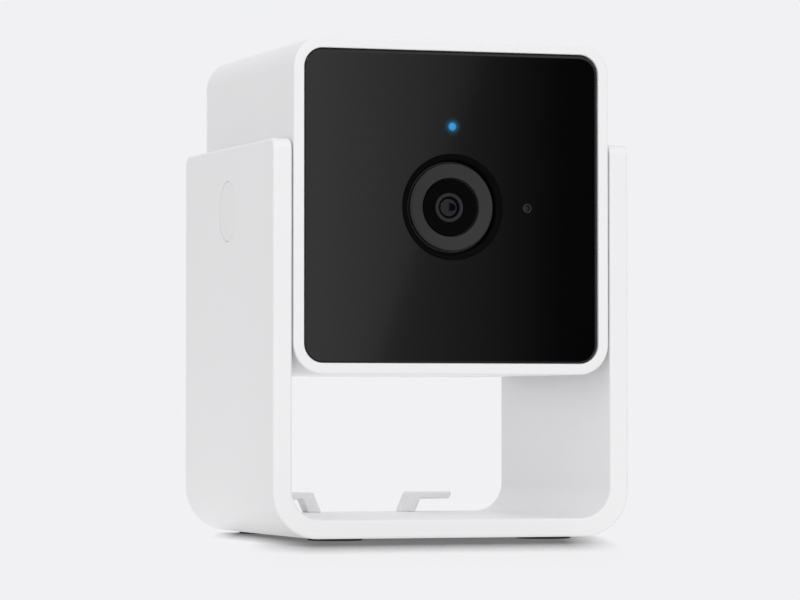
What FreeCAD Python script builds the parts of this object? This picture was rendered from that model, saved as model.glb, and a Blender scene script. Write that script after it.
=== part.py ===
import FreeCAD, Part
import operator
import os
import types

import Sketcher

# A compact home camera for watching a pet: a square camera head that tilts between the arms of a
# U-shaped stand. Millimetres. X runs to the viewer's right, Y from the lens to the rear, Z up.
# The origin is on the ground, under the middle of the stand.

sizes = {
    # Stand: a U-shaped moulding on four rubber feet
    "stand_width": 61.0,
    "stand_depth": 53.3,
    "stand_wall": 2.9,
    "stand_floor": 3.2,
    "stand_outer_radius": 7.6,
    "stand_inner_radius": 5.0,
    "stand_edge": 0.45,
    "arm_rise": 10.7,
    "arm_corner_radius": 1.8,
    "foot_height": 0.6,
    "foot_radius": 4.5,
    "foot_spacing_x": 36.0,
    "foot_spacing_y": 40.0,
    # Cable hooks on the rear edge of the floor
    "hook_gap": 14.6,
    "hook_leg": 2.4,
    "hook_lean": 1.5,
    "hook_rise": 3.5,
    "hook_bar": 1.2,
    "hook_reach": 16.5,
    "hook_slant": 0.5,
    "hook_depth": 4.0,
    "hook_inset": 0.8,
    # Pivots between the arms and the head
    "side_gap": 0.55,
    "under_head_gap": 23.1,
    "cap_radius": 5.0,
    "cap_thickness": 0.8,
    "cap_clearance": 0.05,
    "cap_air_gap": 0.25,
    "screw_head_radius": 3.6,
    "screw_head_height": 0.9,
    "screw_head_clearance": 0.25,
    "screw_head_lift": 0.05,
    "shoulder_radius": 2.0,
    "shoulder_clearance": 0.05,
    "shell_hole_clearance": 0.1,
    "washer_radius": 5.0,
    "washer_clearance": 0.4,
    "boss_radius": 4.6,
    "boss_length": 4.5,
    "nut_radius": 3.0,
    "nut_length": 3.25,
    "nut_clearance": 0.05,
    "pivot_thread_radius": 1.5,
    "pivot_thread_length": 2.8,
    "thread_clearance": 0.05,
    # Head shell: a square tube with rounded corners
    "head_height": 54.4,
    "head_wall": 1.8,
    "head_corner_radius": 5.0,
    "head_front_edge": 0.4,
    "head_rear_radius": 1.5,
    "rim_inner_edge": 0.2,
    "ledge_width": 1.2,
    "ledge_thickness": 1.2,
    # Front panel and the carrier behind it
    "panel_recess": 0.25,
    "panel_thickness": 1.6,
    "panel_gap": 0.12,
    "panel_bevel": 0.35,
    "well_radius": 7.45,
    "well_chamfer": 1.2,
    "led_rise": 13.1,
    "led_hole_radius": 0.7,
    "mic_offset": 12.9,
    "mic_hole_radius": 0.55,
    "carrier_thickness": 2.0,
    "pillar_radius": 2.8,
    "pillar_inset": 5.25,
    "pilot_radius": 1.3,
    "pilot_depth": 9.0,
    # Lens
    "bezel_radius": 7.3,
    "bezel_inner_radius": 4.8,
    "bezel_height": 1.1,
    "bezel_rim": 0.35,
    "bezel_slope": 0.55,
    "barrel_rise": 0.4,
    "barrel_flange_radius": 4.6,
    "barrel_flange_length": 2.8,
    "barrel_radius": 3.9,
    "barrel_wall": 0.3,
    "barrel_cone_depth": 0.45,
    "retainer_radius": 2.4,
    "retainer_opening": 1.5,
    "retainer_thickness": 0.4,
    "front_lens_thickness": 1.1,
    "front_lens_bulge": 0.35,
    "middle_lens_radius": 1.85,
    "middle_lens_thickness": 1.5,
    "middle_lens_depth": 4.8,
    "aperture_radius": 0.9,
    "aperture_thickness": 0.5,
    "rear_lens_radius": 2.55,
    "rear_lens_thickness": 1.5,
    "rear_lens_depth": 4.0,
    "relay_radius": 2.0,
    "dome_margin": 0.1,
    "lens_clearance": 0.05,
    "focus_gap": 0.4,
    "holder_width": 12.0,
    "holder_height": 8.5,
    "holder_base": 3.6,
    "holder_radius": 5.4,
    "holder_bore_depth": 5.9,
    "holder_cavity": 7.6,
    "holder_cavity_depth": 1.6,
    "filter_width": 6.0,
    "filter_thickness": 0.3,
    "chip_width": 5.6,
    "chip_height": 4.6,
    "chip_thickness": 1.0,
    # Boards behind the carrier
    "led_board_width": 32.0,
    "led_board_corner": 4.0,
    "led_board_thickness": 1.0,
    "led_board_clearance": 0.4,
    "flange_clearance": 0.1,
    "window_gap": 0.3,
    "infrared_spacing": 19.0,
    "infrared_width": 3.0,
    "infrared_depth": 1.8,
    "status_led_width": 1.6,
    "status_led_depth": 0.7,
    "pipe_radius": 0.65,
    "pipe_flange_radius": 1.4,
    "pipe_flange_gap": 0.1,
    "pipe_clearance": 0.1,
    "mic_width": 3.0,
    "mic_height": 2.6,
    "mic_depth": 1.0,
    "boot_radius": 2.0,
    "boot_clearance": 0.1,
    "light_sensor_width": 2.0,
    "light_sensor_depth": 0.8,
    "standoff_spacing": 18.0,
    "standoff_radius": 2.0,
    "standoff_length": 13.8,
    "standoff_clearance": 0.1,
    "standoff_pilot_radius": 0.85,
    "standoff_pilot_depth": 6.0,
    "sensor_board_width": 13.0,
    "sensor_board_height": 24.0,
    "sensor_board_thickness": 0.8,
    "small_screw_radius": 0.8,
    "small_screw_clearance": 0.1,
    "small_screw_head_radius": 1.7,
    "small_screw_head_height": 0.9,
    "small_screw_length": 5.0,
    # Main board and what it carries
    "main_board_thickness": 1.2,
    "main_board_margin": 3.0,
    "board_hole_radius": 1.4,
    "processor_width": 12.0,
    "processor_thickness": 1.2,
    "pad_width": 11.0,
    "pad_thickness": 1.0,
    "spreader_width": 32.0,
    "spreader_height": 30.0,
    "spreader_thickness": 1.2,
    "spreader_leg_height": 12.0,
    "wifi_width": 9.0,
    "wifi_height": 8.0,
    "wifi_thickness": 2.0,
    "wifi_post_gap": 0.8,
    "antenna_width": 30.0,
    "antenna_depth": 10.0,
    "antenna_thickness": 0.6,
    "antenna_y": -3.0,
    "connector_width": 9.0,
    "connector_height": 3.0,
    "connector_thickness": 1.2,
    "ribbon_width": 7.0,
    "ribbon_thickness": 0.3,
    "ribbon_drop": 19.5,
    "ribbon_bend_radius": 3.0,
    "ribbon_turn_y": 5.0,
    # Rear cover
    "cover_recess": 0.3,
    "cover_thickness": 1.5,
    "cover_gap": 0.12,
    "cover_post_radius": 3.2,
    "cover_post_length": 9.65,
    "screw_well_radius": 2.4,
    "screw_well_depth": 3.0,
    "case_screw_radius": 1.25,
    "case_screw_head_radius": 2.2,
    "case_screw_head_height": 1.5,
    "case_screw_reach": 8.0,
    "grille_radius": 8.5,
    "grille_pitch": 2.6,
    "grille_bar_width": 1.2,
    "grille_bar_root": 0.6,
    "grille_bar_recess": 0.2,
    # Speaker behind the grille
    "speaker_rise": 6.0,
    "speaker_radius": 14.0,
    "gasket_thickness": 1.0,
    "gasket_width": 2.0,
    "basket_depth": 5.35,
    "basket_wall": 0.9,
    "magnet_radius": 7.1,
    "magnet_thickness": 2.5,
    "cone_clearance": 0.1,
    "cone_thickness": 0.4,
    "cone_drop": 2.6,
    # Power socket
    "usb_drop": 16.0,
    "usb_width": 8.9,
    "usb_height": 3.2,
    "usb_wall": 0.3,
    "usb_recess": 0.5,
    "usb_opening_gap": 0.3,
    "usb_end_flat": 0.1,
    "usb_floor": 1.0,
    "tongue_width": 6.7,
    "tongue_height": 0.7,
    "tongue_setback": 0.8,
    # Reset button
    "reset_x": 12.0,
    "reset_drop": 16.0,
    "button_radius": 1.5,
    "button_gap": 0.1,
    "button_recess": 0.25,
    "button_flange_radius": 2.4,
    "button_flange_thickness": 0.8,
    "sleeve_wall": 1.0,
    "sleeve_length": 3.35,
    "switch_width": 5.0,
    "switch_height": 3.5,
    "plunger_radius": 1.0,
    "plunger_rise": 1.0,
    "plunger_depth": 0.6,
    "switch_well_depth": 1.2,
}

# How a sketch numbers the points of a curve, and its own axes, which start at its origin
START, END, CENTRE = range(1, 4)
HORIZONTAL_AXIS, VERTICAL_AXIS = range(-1, -3, -1)
ORIGIN_POINT = (HORIZONTAL_AXIS, START)
SAME_PLACE = 1e-4

doc = FreeCAD.newDocument("PetCamera")
signs = {"+": operator.add, "-": operator.sub, "*": operator.mul, "/": operator.truediv}


class Length:
    """A length that carries its value and the sheet formula that gives it."""

    def __init__(self, value, formula):
        self.value = value
        self.formula = formula

    def __add__(self, other):
        return joined(self, "+", other)

    def __radd__(self, other):
        return joined(other, "+", self)

    def __sub__(self, other):
        return joined(self, "-", other)

    def __rsub__(self, other):
        return joined(other, "-", self)

    def __mul__(self, other):
        return joined(self, "*", other)

    def __rmul__(self, other):
        return joined(other, "*", self)

    def __truediv__(self, other):
        return joined(self, "/", other)

    def __neg__(self):
        return joined(0.0, "-", self)


def as_length(number):
    if isinstance(number, Length):
        return number
    return Length(float(number), str(float(number)))


def joined(left, sign, right):
    left = as_length(left)
    right = as_length(right)
    return Length(signs[sign](left.value, right.value), f"({left.formula} {sign} {right.formula})")


def write_sheet():
    """Puts every driving size in the document's sheet, under its own name."""
    sheet = doc.addObject("Spreadsheet::Sheet", "Sizes")
    for row, (name, number) in enumerate(sizes.items(), 1):
        sheet.set(f"A{row}", name)
        sheet.set(f"B{row}", str(number))
        sheet.setAlias(f"B{row}", name)
    doc.recompute()


write_sheet()
size = types.SimpleNamespace(
    **{name: Length(number, f"Sizes.{name}") for name, number in sizes.items()}
)

# Widths and heights that follow from the driving sizes
floor_top = size.foot_height + size.stand_floor
pivot_height = floor_top + size.under_head_gap + size.head_height / 2
arm_top = pivot_height + size.arm_rise
arm_outside = size.stand_width / 2
arm_inside = arm_outside - size.stand_wall
head_side = arm_inside - size.side_gap
head_width = 2 * head_side
inner_width = head_width - 2 * size.head_wall
inner_height = size.head_height - 2 * size.head_wall
inner_radius = size.head_corner_radius - size.head_wall
inner_side = inner_width / 2
pillar_x = inner_side - size.pillar_inset
pillar_z = inner_height / 2 - size.pillar_inset

# Planes across the head, from the lens to the rear
face_y = -size.stand_depth / 2
panel_front = face_y + size.panel_recess
carrier_front = panel_front + size.panel_thickness
carrier_back = carrier_front + size.carrier_thickness
led_board_back = carrier_back + size.led_board_thickness
sensor_board_front = carrier_back + size.standoff_length
sensor_board_back = sensor_board_front + size.sensor_board_thickness
back_y = size.stand_depth / 2
cover_back = back_y - size.cover_recess
cover_front = cover_back - size.cover_thickness
main_board_back = cover_front - size.cover_post_length
main_board_front = main_board_back - size.main_board_thickness
gasket_front = cover_front - size.gasket_thickness
basket_back = gasket_front - size.basket_depth
holder_front = sensor_board_front - size.holder_height
barrel_front = carrier_front - size.barrel_rise
barrel_back = holder_front + size.holder_bore_depth - size.focus_gap
switch_top = main_board_back + size.switch_height
plunger_top = switch_top + size.plunger_rise
sleeve_end = cover_front - size.sleeve_length
usb_mouth = cover_back - size.usb_recess

corners = [(1, 1), (-1, 1), (-1, -1), (1, -1)]
sides = {"left": -1, "right": 1}
parts = []


def bind(item, name, length):
    """Ties a property to its formula in the sheet."""
    item.setExpression(name, as_length(length).formula)


def new_body(label, x=0, y=0, z=0):
    """An empty sub-part whose own origin stands at the given place."""
    body = doc.addObject("PartDesign::Body", label)
    body.Label = label
    body.AllowCompound = True
    for axis, place in (("x", x), ("y", y), ("z", z)):
        bind(body, f"Placement.Base.{axis}", place)
    parts.append(body)
    return body


def sketch_on(body, role, offset, centre=(0, 0)):
    """A sketch on one of the body's own planes, moved along its normal and across it."""
    plane = next(item for item in body.Origin.OriginFeatures if item.Role == role)
    sketch = body.newObject("Sketcher::SketchObject", f"{body.Label}_sketch")
    sketch.AttachmentSupport = [(plane, "")]
    sketch.MapMode = "FlatFace"
    bind(sketch, "AttachmentOffset.Base.x", centre[0])
    bind(sketch, "AttachmentOffset.Base.y", centre[1])
    bind(sketch, "AttachmentOffset.Base.z", offset)
    return sketch


def point_of(x, y):
    return FreeCAD.Vector(as_length(x).value, as_length(y).value, 0)


def dimension(sketch, kind, where, length):
    index = sketch.addConstraint(Sketcher.Constraint(kind, *where, as_length(length).value))
    name = f"{kind}_{index}"
    sketch.renameConstraint(index, name)
    bind(sketch, f"Constraints.{name}", length)


def pin_point(sketch, curve, point, x, y):
    """Holds a point of a curve at its distances from the sketch's origin."""
    for kind, axis, place in (("DistanceX", VERTICAL_AXIS, x), ("DistanceY", HORIZONTAL_AXIS, y)):
        if isinstance(place, Length):
            dimension(sketch, kind, (*ORIGIN_POINT, curve, point), place)
        else:
            sketch.addConstraint(Sketcher.Constraint("PointOnObject", curve, point, axis))


def add_circle(sketch, x, y, radius):
    circle = Part.Circle(point_of(x, y), FreeCAD.Vector(0, 0, 1), as_length(radius).value)
    curve = sketch.addGeometry(circle, False)
    pin_point(sketch, curve, CENTRE, x, y)
    dimension(sketch, "Radius", (curve,), radius)


def add_outline(sketch, points):
    """A closed outline with straight sides."""
    first = len(sketch.Geometry)
    count = len(points)
    for n in range(count):
        start, end = points[n], points[(n + 1) % count]
        sketch.addGeometry(Part.LineSegment(point_of(*start), point_of(*end)), False)
    for n in range(count):
        following = first + (n + 1) % count
        sketch.addConstraint(Sketcher.Constraint("Coincident", first + n, END, following, START))
    for n, (x, y) in enumerate(points):
        pin_point(sketch, first + n, START, x, y)


def add_rectangle(sketch, x, y, width, height):
    left, right = x - as_length(width) / 2, x + as_length(width) / 2
    low, high = y - as_length(height) / 2, y + as_length(height) / 2
    add_outline(sketch, [(left, low), (right, low), (right, high), (left, high)])


def add_rounded_rectangle(sketch, x, y, width, height, radius):
    """Four sides joined by four tangent corner arcs."""
    first = len(sketch.Geometry)
    middle = point_of(x, y)
    across = as_length(width).value / 2
    up = as_length(height).value / 2
    bend = as_length(radius).value
    for turn, (reach, rise) in enumerate([(across, up), (up, across), (across, up), (up, across)]):
        spin = FreeCAD.Rotation(FreeCAD.Vector(0, 0, 1), 90 * turn)
        start = middle + spin.multVec(FreeCAD.Vector(bend - reach, -rise, 0))
        end = middle + spin.multVec(FreeCAD.Vector(reach - bend, -rise, 0))
        half_way = FreeCAD.Vector(reach - bend * (1 - 0.5**0.5), -rise + bend * (1 - 0.5**0.5), 0)
        corner = FreeCAD.Vector(reach, -rise + bend, 0)
        sketch.addGeometry(Part.LineSegment(start, end), False)
        arc = Part.Arc(end, middle + spin.multVec(half_way), middle + spin.multVec(corner))
        sketch.addGeometry(arc, False)
    for side in range(4):
        line = first + 2 * side
        arc = line + 1
        following = first + 2 * ((side + 1) % 4)
        sketch.addConstraint(Sketcher.Constraint("Tangent", line, END, arc, START))
        sketch.addConstraint(Sketcher.Constraint("Tangent", arc, END, following, START))
        kind = "Horizontal" if side % 2 == 0 else "Vertical"
        sketch.addConstraint(Sketcher.Constraint(kind, line))
        if side:
            sketch.addConstraint(Sketcher.Constraint("Equal", first + 1, arc))
    bottom, right, top, left = (first + 2 * side for side in range(4))
    dimension(sketch, "Radius", (first + 1,), radius)
    dimension(sketch, "DistanceY", (*ORIGIN_POINT, bottom, START), y - as_length(height) / 2)
    dimension(sketch, "DistanceY", (*ORIGIN_POINT, top, START), y + as_length(height) / 2)
    dimension(sketch, "DistanceX", (*ORIGIN_POINT, left, START), x - as_length(width) / 2)
    dimension(sketch, "DistanceX", (*ORIGIN_POINT, right, START), x + as_length(width) / 2)


# The plane that each direction is square to, and which way that plane's normal points
planes = {"x": ("YZ_Plane", 1), "y": ("XZ_Plane", -1), "z": ("XY_Plane", 1)}


def add_between(body, axis, low, high, draw, centre=(0, 0)):
    """Material along an axis, from its low plane to its high one."""
    role, way = planes[axis]
    sketch = sketch_on(body, role, low if way > 0 else -as_length(high), centre)
    draw(sketch)
    pad = body.newObject("PartDesign::Pad", f"{body.Label}_pad")
    pad.Profile = sketch
    bind(pad, "Length", high - as_length(low))
    doc.recompute()
    return pad


def cut_between(body, axis, low, high, draw, centre=(0, 0)):
    """A cut along an axis, from its low plane to its high one."""
    role, way = planes[axis]
    before = body.Shape.Volume
    sketch = sketch_on(body, role, high if way > 0 else -as_length(low), centre)
    draw(sketch)
    pocket = body.newObject("PartDesign::Pocket", f"{body.Label}_pocket")
    pocket.Profile = sketch
    bind(pocket, "Length", high - as_length(low))
    doc.recompute()
    if body.Shape.Volume >= before:
        raise ValueError(f"a cut in {body.Label} takes nothing away")
    return pocket


def turn_about_axis(body, sketch):
    turned = body.newObject("PartDesign::Revolution", f"{body.Label}_revolution")
    turned.Profile = sketch
    turned.ReferenceAxis = (sketch, ["H_Axis"])
    turned.Angle = 360
    doc.recompute()


def revolve(body, points):
    """A turned piece about the body's own Y axis, from points given as (y, radius)."""
    sketch = sketch_on(body, "YZ_Plane", 0)
    add_outline(sketch, points)
    turn_about_axis(body, sketch)


def edges_where(shape, rule):
    return [f"Edge{n}" for n, edge in enumerate(shape.Edges, 1) if rule(edge)]


def dress(body, kind, value_name, length, rule):
    """A fillet or chamfer on the edges that a rule picks."""
    base = body.Tip
    names = edges_where(base.Shape, rule)
    if not names:
        raise ValueError(f"no edge of {body.Label} is left to dress")
    feature = body.newObject(f"PartDesign::{kind}", f"{body.Label}_{kind.lower()}")
    feature.Base = (base, names)
    bind(feature, value_name, length)
    doc.recompute()
    return feature


def fillet(body, radius, rule):
    return dress(body, "Fillet", "Radius", radius, rule)


def chamfer(body, length, rule):
    return dress(body, "Chamfer", "Size", length, rule)


def mirror(body, features, role="YZ_Plane"):
    """The same features again on the other side of one of the body's planes."""
    plane = next(item for item in body.Origin.OriginFeatures if item.Role == role)
    mirrored = body.newObject("PartDesign::Mirrored", f"{body.Label}_mirrored")
    mirrored.Originals = features
    mirrored.MirrorPlane = (plane, [""])
    body.Tip = mirrored
    doc.recompute()


def near(value, target):
    return abs(value - as_length(target).value) < SAME_PLACE


def along(edge, axis):
    """Whether an edge is straight and runs along an axis."""
    box = edge.BoundBox
    spans = {"x": box.XLength, "y": box.YLength, "z": box.ZLength}
    across = [span for name, span in spans.items() if name != axis]
    return spans[axis] > SAME_PLACE and max(across) < SAME_PLACE


def in_plane(edge, axis, place):
    """Whether an edge lies in the plane at one place on an axis."""
    box = edge.BoundBox
    low, high = {
        "x": (box.XMin, box.XMax),
        "y": (box.YMin, box.YMax),
        "z": (box.ZMin, box.ZMax),
    }[axis]
    return near(low, place) and near(high, place)


def box_piece(label, y_front, y_back, width, height, x=0, z=0):
    """A square-cut piece of the head, given by its two planes and its outline."""
    body = new_body(label, x=x, z=pivot_height + z)
    add_between(body, "y", y_front, y_back, lambda s: add_rectangle(s, 0, 0, width, height))
    return body


# Stand


def make_stand_frame():
    body = new_body("stand_frame")
    rise = arm_top - size.foot_height
    add_between(
        body, "y", face_y, back_y,
        lambda s: add_rectangle(s, 0, size.foot_height + rise / 2, size.stand_width, rise),
    )
    inside_rise = arm_top - floor_top
    cut_between(
        body, "y", face_y, back_y,
        lambda s: add_rectangle(s, 0, floor_top + inside_rise / 2, 2 * arm_inside, inside_rise),
    )
    fillet(
        body, size.stand_outer_radius,
        lambda e: along(e, "y") and in_plane(e, "z", size.foot_height),
    )
    fillet(
        body, size.stand_inner_radius,
        lambda e: along(e, "y") and in_plane(e, "z", floor_top),
    )
    fillet(
        body, size.arm_corner_radius,
        lambda e: along(e, "x") and in_plane(e, "z", arm_top),
    )
    bevel_stand_edges(body)
    cut_pivot_seats(body)


def bevel_stand_edges(body):
    """Takes the edge off the loops between the sides of the U and its front, top and rear."""
    corner_start = arm_top - size.arm_corner_radius

    def on_a_loop(edge):
        if along(edge, "x") and edge.BoundBox.ZMin > as_length(corner_start).value - SAME_PLACE:
            return False
        if in_plane(edge, "y", face_y) or in_plane(edge, "y", back_y):
            return True
        on_arm_side = any(
            in_plane(edge, "x", way * place) for way in (-1, 1) for place in (arm_inside, arm_outside)
        )
        return on_arm_side and edge.BoundBox.ZMin > as_length(corner_start).value - SAME_PLACE

    chamfer(body, size.stand_edge, on_a_loop)


def cut_pivot_seats(body):
    """In each arm, a hole for the pivot and the seats of its screw head and cap."""
    cap_floor = arm_outside - size.cap_thickness
    head_floor = cap_floor - size.cap_air_gap - size.screw_head_height - size.screw_head_lift
    hole_radius = size.shoulder_radius + size.shoulder_clearance
    head_radius = size.screw_head_radius + size.screw_head_clearance
    cap_radius = size.cap_radius + size.cap_clearance
    seats = [
        cut_between(
            body, "x", cap_floor, arm_outside,
            lambda s: add_circle(s, 0, pivot_height, cap_radius),
        ),
        cut_between(
            body, "x", head_floor, cap_floor,
            lambda s: add_circle(s, 0, pivot_height, head_radius),
        ),
        cut_between(
            body, "x", arm_inside, head_floor,
            lambda s: add_circle(s, 0, pivot_height, hole_radius),
        ),
    ]
    mirror(body, seats)


def make_rubber_feet():
    body = new_body("rubber_feet")

    def draw_feet(sketch):
        for way_x, way_y in corners:
            x = way_x * size.foot_spacing_x / 2
            y = way_y * size.foot_spacing_y / 2
            add_circle(sketch, x, y, size.foot_radius)

    add_between(body, "z", 0, size.foot_height, draw_feet)


def make_cable_hook(side, way):
    """A leg that leans outward and carries a bar over the floor."""
    body = new_body(f"cable_hook_{side}", z=floor_top)
    inner = size.hook_gap / 2
    under = size.hook_rise - size.hook_bar
    lean_under = size.hook_lean * under / size.hook_rise
    points = [
        (way * inner, 0),
        (way * (inner + size.hook_leg), 0),
        (way * (inner + size.hook_leg + lean_under), under),
        (way * (size.hook_reach - size.hook_slant), under),
        (way * size.hook_reach, size.hook_rise),
        (way * (inner + size.hook_lean), size.hook_rise),
    ]
    rear = back_y - size.hook_inset
    add_between(body, "y", rear - size.hook_depth, rear, lambda s: add_outline(s, points))


# Pivots


def reach_along_x(way, near_place, far_place):
    """The low and high planes of a stretch that is mirrored to the left side."""
    if way > 0:
        return near_place, far_place
    return -far_place, -near_place


def make_pivot_cap(side, way):
    body = new_body(f"pivot_cap_{side}", z=pivot_height)
    low, high = reach_along_x(way, arm_outside - size.cap_thickness, arm_outside)
    add_between(body, "x", low, high, lambda s: add_circle(s, 0, 0, size.cap_radius))


def make_friction_washer(side, way):
    body = new_body(f"friction_washer_{side}", z=pivot_height)
    low, high = reach_along_x(way, head_side, arm_inside)
    hole = size.shoulder_radius + size.washer_clearance
    add_between(body, "x", low, high, lambda s: add_circle(s, 0, 0, size.washer_radius))
    cut_between(body, "x", low, high, lambda s: add_circle(s, 0, 0, hole))


def make_pivot_screw(side, way):
    """A shoulder screw: head in the arm, shoulder through arm and shell, thread in the nut."""
    body = new_body(f"pivot_screw_{side}", z=pivot_height)
    head_outside = arm_outside - size.cap_thickness - size.cap_air_gap
    head_under = head_outside - size.screw_head_height
    nut_face = inner_side - size.boss_length + size.nut_length
    thread_end = nut_face - size.pivot_thread_length
    stretches = [
        (head_under, head_outside, size.screw_head_radius),
        (nut_face, head_under, size.shoulder_radius),
        (thread_end, nut_face, size.pivot_thread_radius),
    ]
    for near_place, far_place, radius in stretches:
        low, high = reach_along_x(way, near_place, far_place)
        add_between(body, "x", low, high, lambda s: add_circle(s, 0, 0, radius))


def make_pivot_nut(side, way):
    """A threaded insert in the boss inside the head."""
    body = new_body(f"pivot_nut_{side}", z=pivot_height)
    boss_end = inner_side - size.boss_length
    low, high = reach_along_x(way, boss_end, boss_end + size.nut_length)
    hole = size.pivot_thread_radius + size.thread_clearance
    add_between(body, "x", low, high, lambda s: add_circle(s, 0, 0, size.nut_radius))
    cut_between(body, "x", low, high, lambda s: add_circle(s, 0, 0, hole))


# Head shell, front panel and carrier


def make_head_shell():
    body = new_body("head_shell", z=pivot_height)
    add_between(
        body, "y", face_y, back_y,
        lambda s: add_rounded_rectangle(
            s, 0, 0, head_width, size.head_height, size.head_corner_radius
        ),
    )
    chamfer(body, size.head_front_edge, lambda e: in_plane(e, "y", face_y))
    fillet(body, size.head_rear_radius, lambda e: in_plane(e, "y", back_y))
    cut_between(
        body, "y", face_y, back_y,
        lambda s: add_rounded_rectangle(s, 0, 0, inner_width, inner_height, inner_radius),
    )
    chamfer(body, size.rim_inner_edge, lambda e: in_plane(e, "y", face_y) and is_inner(e))
    for front in (carrier_back, cover_front - size.ledge_thickness):
        add_between(body, "y", front, front + size.ledge_thickness, draw_ledge)
    boss_end = inner_side - size.boss_length
    nut_face = boss_end + size.nut_length
    boss = add_between(
        body, "x", boss_end, inner_side + size.head_wall / 2,
        lambda s: add_circle(s, 0, 0, size.boss_radius),
    )
    shoulder_hole = cut_between(
        body, "x", nut_face, head_side,
        lambda s: add_circle(s, 0, 0, size.shoulder_radius + size.shell_hole_clearance),
    )
    nut_hole = cut_between(
        body, "x", boss_end, nut_face,
        lambda s: add_circle(s, 0, 0, size.nut_radius + size.nut_clearance),
    )
    mirror(body, [boss, shoulder_hole, nut_hole])


def is_inner(edge):
    """Whether an edge of the head's front ring lies on the ring's inner side."""
    box = edge.BoundBox
    return max(abs(box.XMin), abs(box.XMax)) < inner_side.value + SAME_PLACE


def draw_ledge(sketch):
    """A ring that stands in from the shell's wall and is rooted in it."""
    root = size.head_wall
    add_rounded_rectangle(
        sketch, 0, 0, inner_width + root, inner_height + root, inner_radius + root / 2
    )
    inward = 2 * size.ledge_width
    add_rounded_rectangle(
        sketch, 0, 0, inner_width - inward, inner_height - inward, inner_radius - size.ledge_width
    )


def draw_cover_outline(sketch, gap):
    """The shell's inside, less a gap all round."""
    add_rounded_rectangle(
        sketch, 0, 0, inner_width - 2 * gap, inner_height - 2 * gap, inner_radius - gap
    )


def make_front_panel():
    body = new_body("front_panel", z=pivot_height)
    add_between(
        body, "y", panel_front, carrier_front, lambda s: draw_cover_outline(s, size.panel_gap)
    )
    chamfer(body, size.panel_bevel, lambda e: in_plane(e, "y", panel_front))
    cut_between(
        body, "y", panel_front, carrier_front, lambda s: add_circle(s, 0, 0, size.well_radius)
    )
    chamfer(
        body, size.well_chamfer,
        lambda e: in_plane(e, "y", panel_front) and near(e.BoundBox.XMax, size.well_radius),
    )

    def draw_small_holes(sketch):
        add_circle(sketch, 0, size.led_rise, size.led_hole_radius)
        add_circle(sketch, size.mic_offset, 0, size.mic_hole_radius)

    cut_between(body, "y", panel_front, carrier_front, draw_small_holes)


def make_front_carrier():
    """The plate behind the panel, with windows for the sensors and the pillars for the boards."""
    body = new_body("front_carrier", z=pivot_height)
    add_between(
        body, "y", carrier_front, carrier_back, lambda s: draw_cover_outline(s, size.panel_gap)
    )
    add_between(
        body, "y", carrier_back, main_board_front,
        lambda s: draw_at_pillars(s, size.pillar_radius),
    )
    add_between(
        body, "y", carrier_back, sensor_board_front,
        lambda s: draw_at_standoffs(s, size.standoff_radius),
    )

    def draw_windows(sketch):
        add_circle(sketch, 0, 0, size.barrel_flange_radius + size.flange_clearance)
        add_circle(sketch, 0, size.led_rise, size.pipe_flange_radius + size.pipe_clearance)
        add_circle(sketch, size.mic_offset, 0, size.boot_radius + size.boot_clearance)
        light_window = size.light_sensor_width + 2 * size.window_gap
        add_rectangle(sketch, -size.mic_offset, 0, light_window, light_window)
        draw_at_infrared(sketch, size.infrared_width + 2 * size.window_gap)

    cut_between(body, "y", carrier_front, carrier_back, draw_windows)
    cut_between(
        body, "y", main_board_front - size.pilot_depth, main_board_front,
        lambda s: draw_at_pillars(s, size.pilot_radius),
    )
    cut_between(
        body, "y", sensor_board_front - size.standoff_pilot_depth, sensor_board_front,
        lambda s: draw_at_standoffs(s, size.standoff_pilot_radius),
    )


def draw_at_pillars(sketch, radius):
    for way_x, way_z in corners:
        add_circle(sketch, way_x * pillar_x, way_z * pillar_z, radius)


def draw_at_standoffs(sketch, radius):
    for way_z in (-1, 1):
        add_circle(sketch, 0, way_z * size.standoff_spacing / 2, radius)


def draw_at_infrared(sketch, width):
    for way_x, way_z in corners:
        x = way_x * size.infrared_spacing / 2
        z = way_z * size.infrared_spacing / 2
        add_rectangle(sketch, x, z, width, width)


# Lens


def make_lens_bezel():
    body = new_body("lens_bezel", z=pivot_height)
    front = carrier_front - size.bezel_height
    revolve(body, [
        (carrier_front, size.bezel_inner_radius),
        (carrier_front, size.bezel_radius),
        (front + size.bezel_rim, size.bezel_radius),
        (front, size.bezel_radius - size.bezel_rim),
        (front, size.bezel_radius - 2 * size.bezel_rim),
        (front + size.bezel_slope, size.bezel_inner_radius),
    ])


def make_lens_barrel():
    """A stepped tube: each step inside is the seat of a lens."""
    body = new_body("lens_barrel", z=pivot_height)
    gap = size.lens_clearance
    cone_end = barrel_front + size.barrel_cone_depth
    front_seat = cone_end + size.retainer_thickness + size.front_lens_thickness
    stop = barrel_front + size.middle_lens_depth
    stop_end = stop + size.aperture_thickness
    rear_seat = barrel_back - size.rear_lens_depth
    flange_end = barrel_front + size.barrel_flange_length
    revolve(body, [
        (barrel_front, size.barrel_flange_radius - size.barrel_wall),
        (barrel_front, size.barrel_flange_radius),
        (flange_end, size.barrel_flange_radius),
        (flange_end, size.barrel_radius),
        (barrel_back, size.barrel_radius),
        (barrel_back, size.rear_lens_radius + gap),
        (rear_seat, size.rear_lens_radius + gap),
        (rear_seat, size.relay_radius),
        (stop_end, size.relay_radius),
        (stop_end, size.aperture_radius),
        (stop, size.aperture_radius),
        (stop, size.middle_lens_radius + gap),
        (front_seat, size.middle_lens_radius + gap),
        (front_seat, size.retainer_radius + gap),
        (cone_end, size.retainer_radius + gap),
    ])


def make_lens_retainer():
    body = new_body("lens_retainer", z=pivot_height)
    front = barrel_front + size.barrel_cone_depth
    back = front + size.retainer_thickness
    revolve(body, [
        (front, size.retainer_opening + size.retainer_thickness),
        (front, size.retainer_radius),
        (back, size.retainer_radius),
        (back, size.retainer_opening),
    ])


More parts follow.
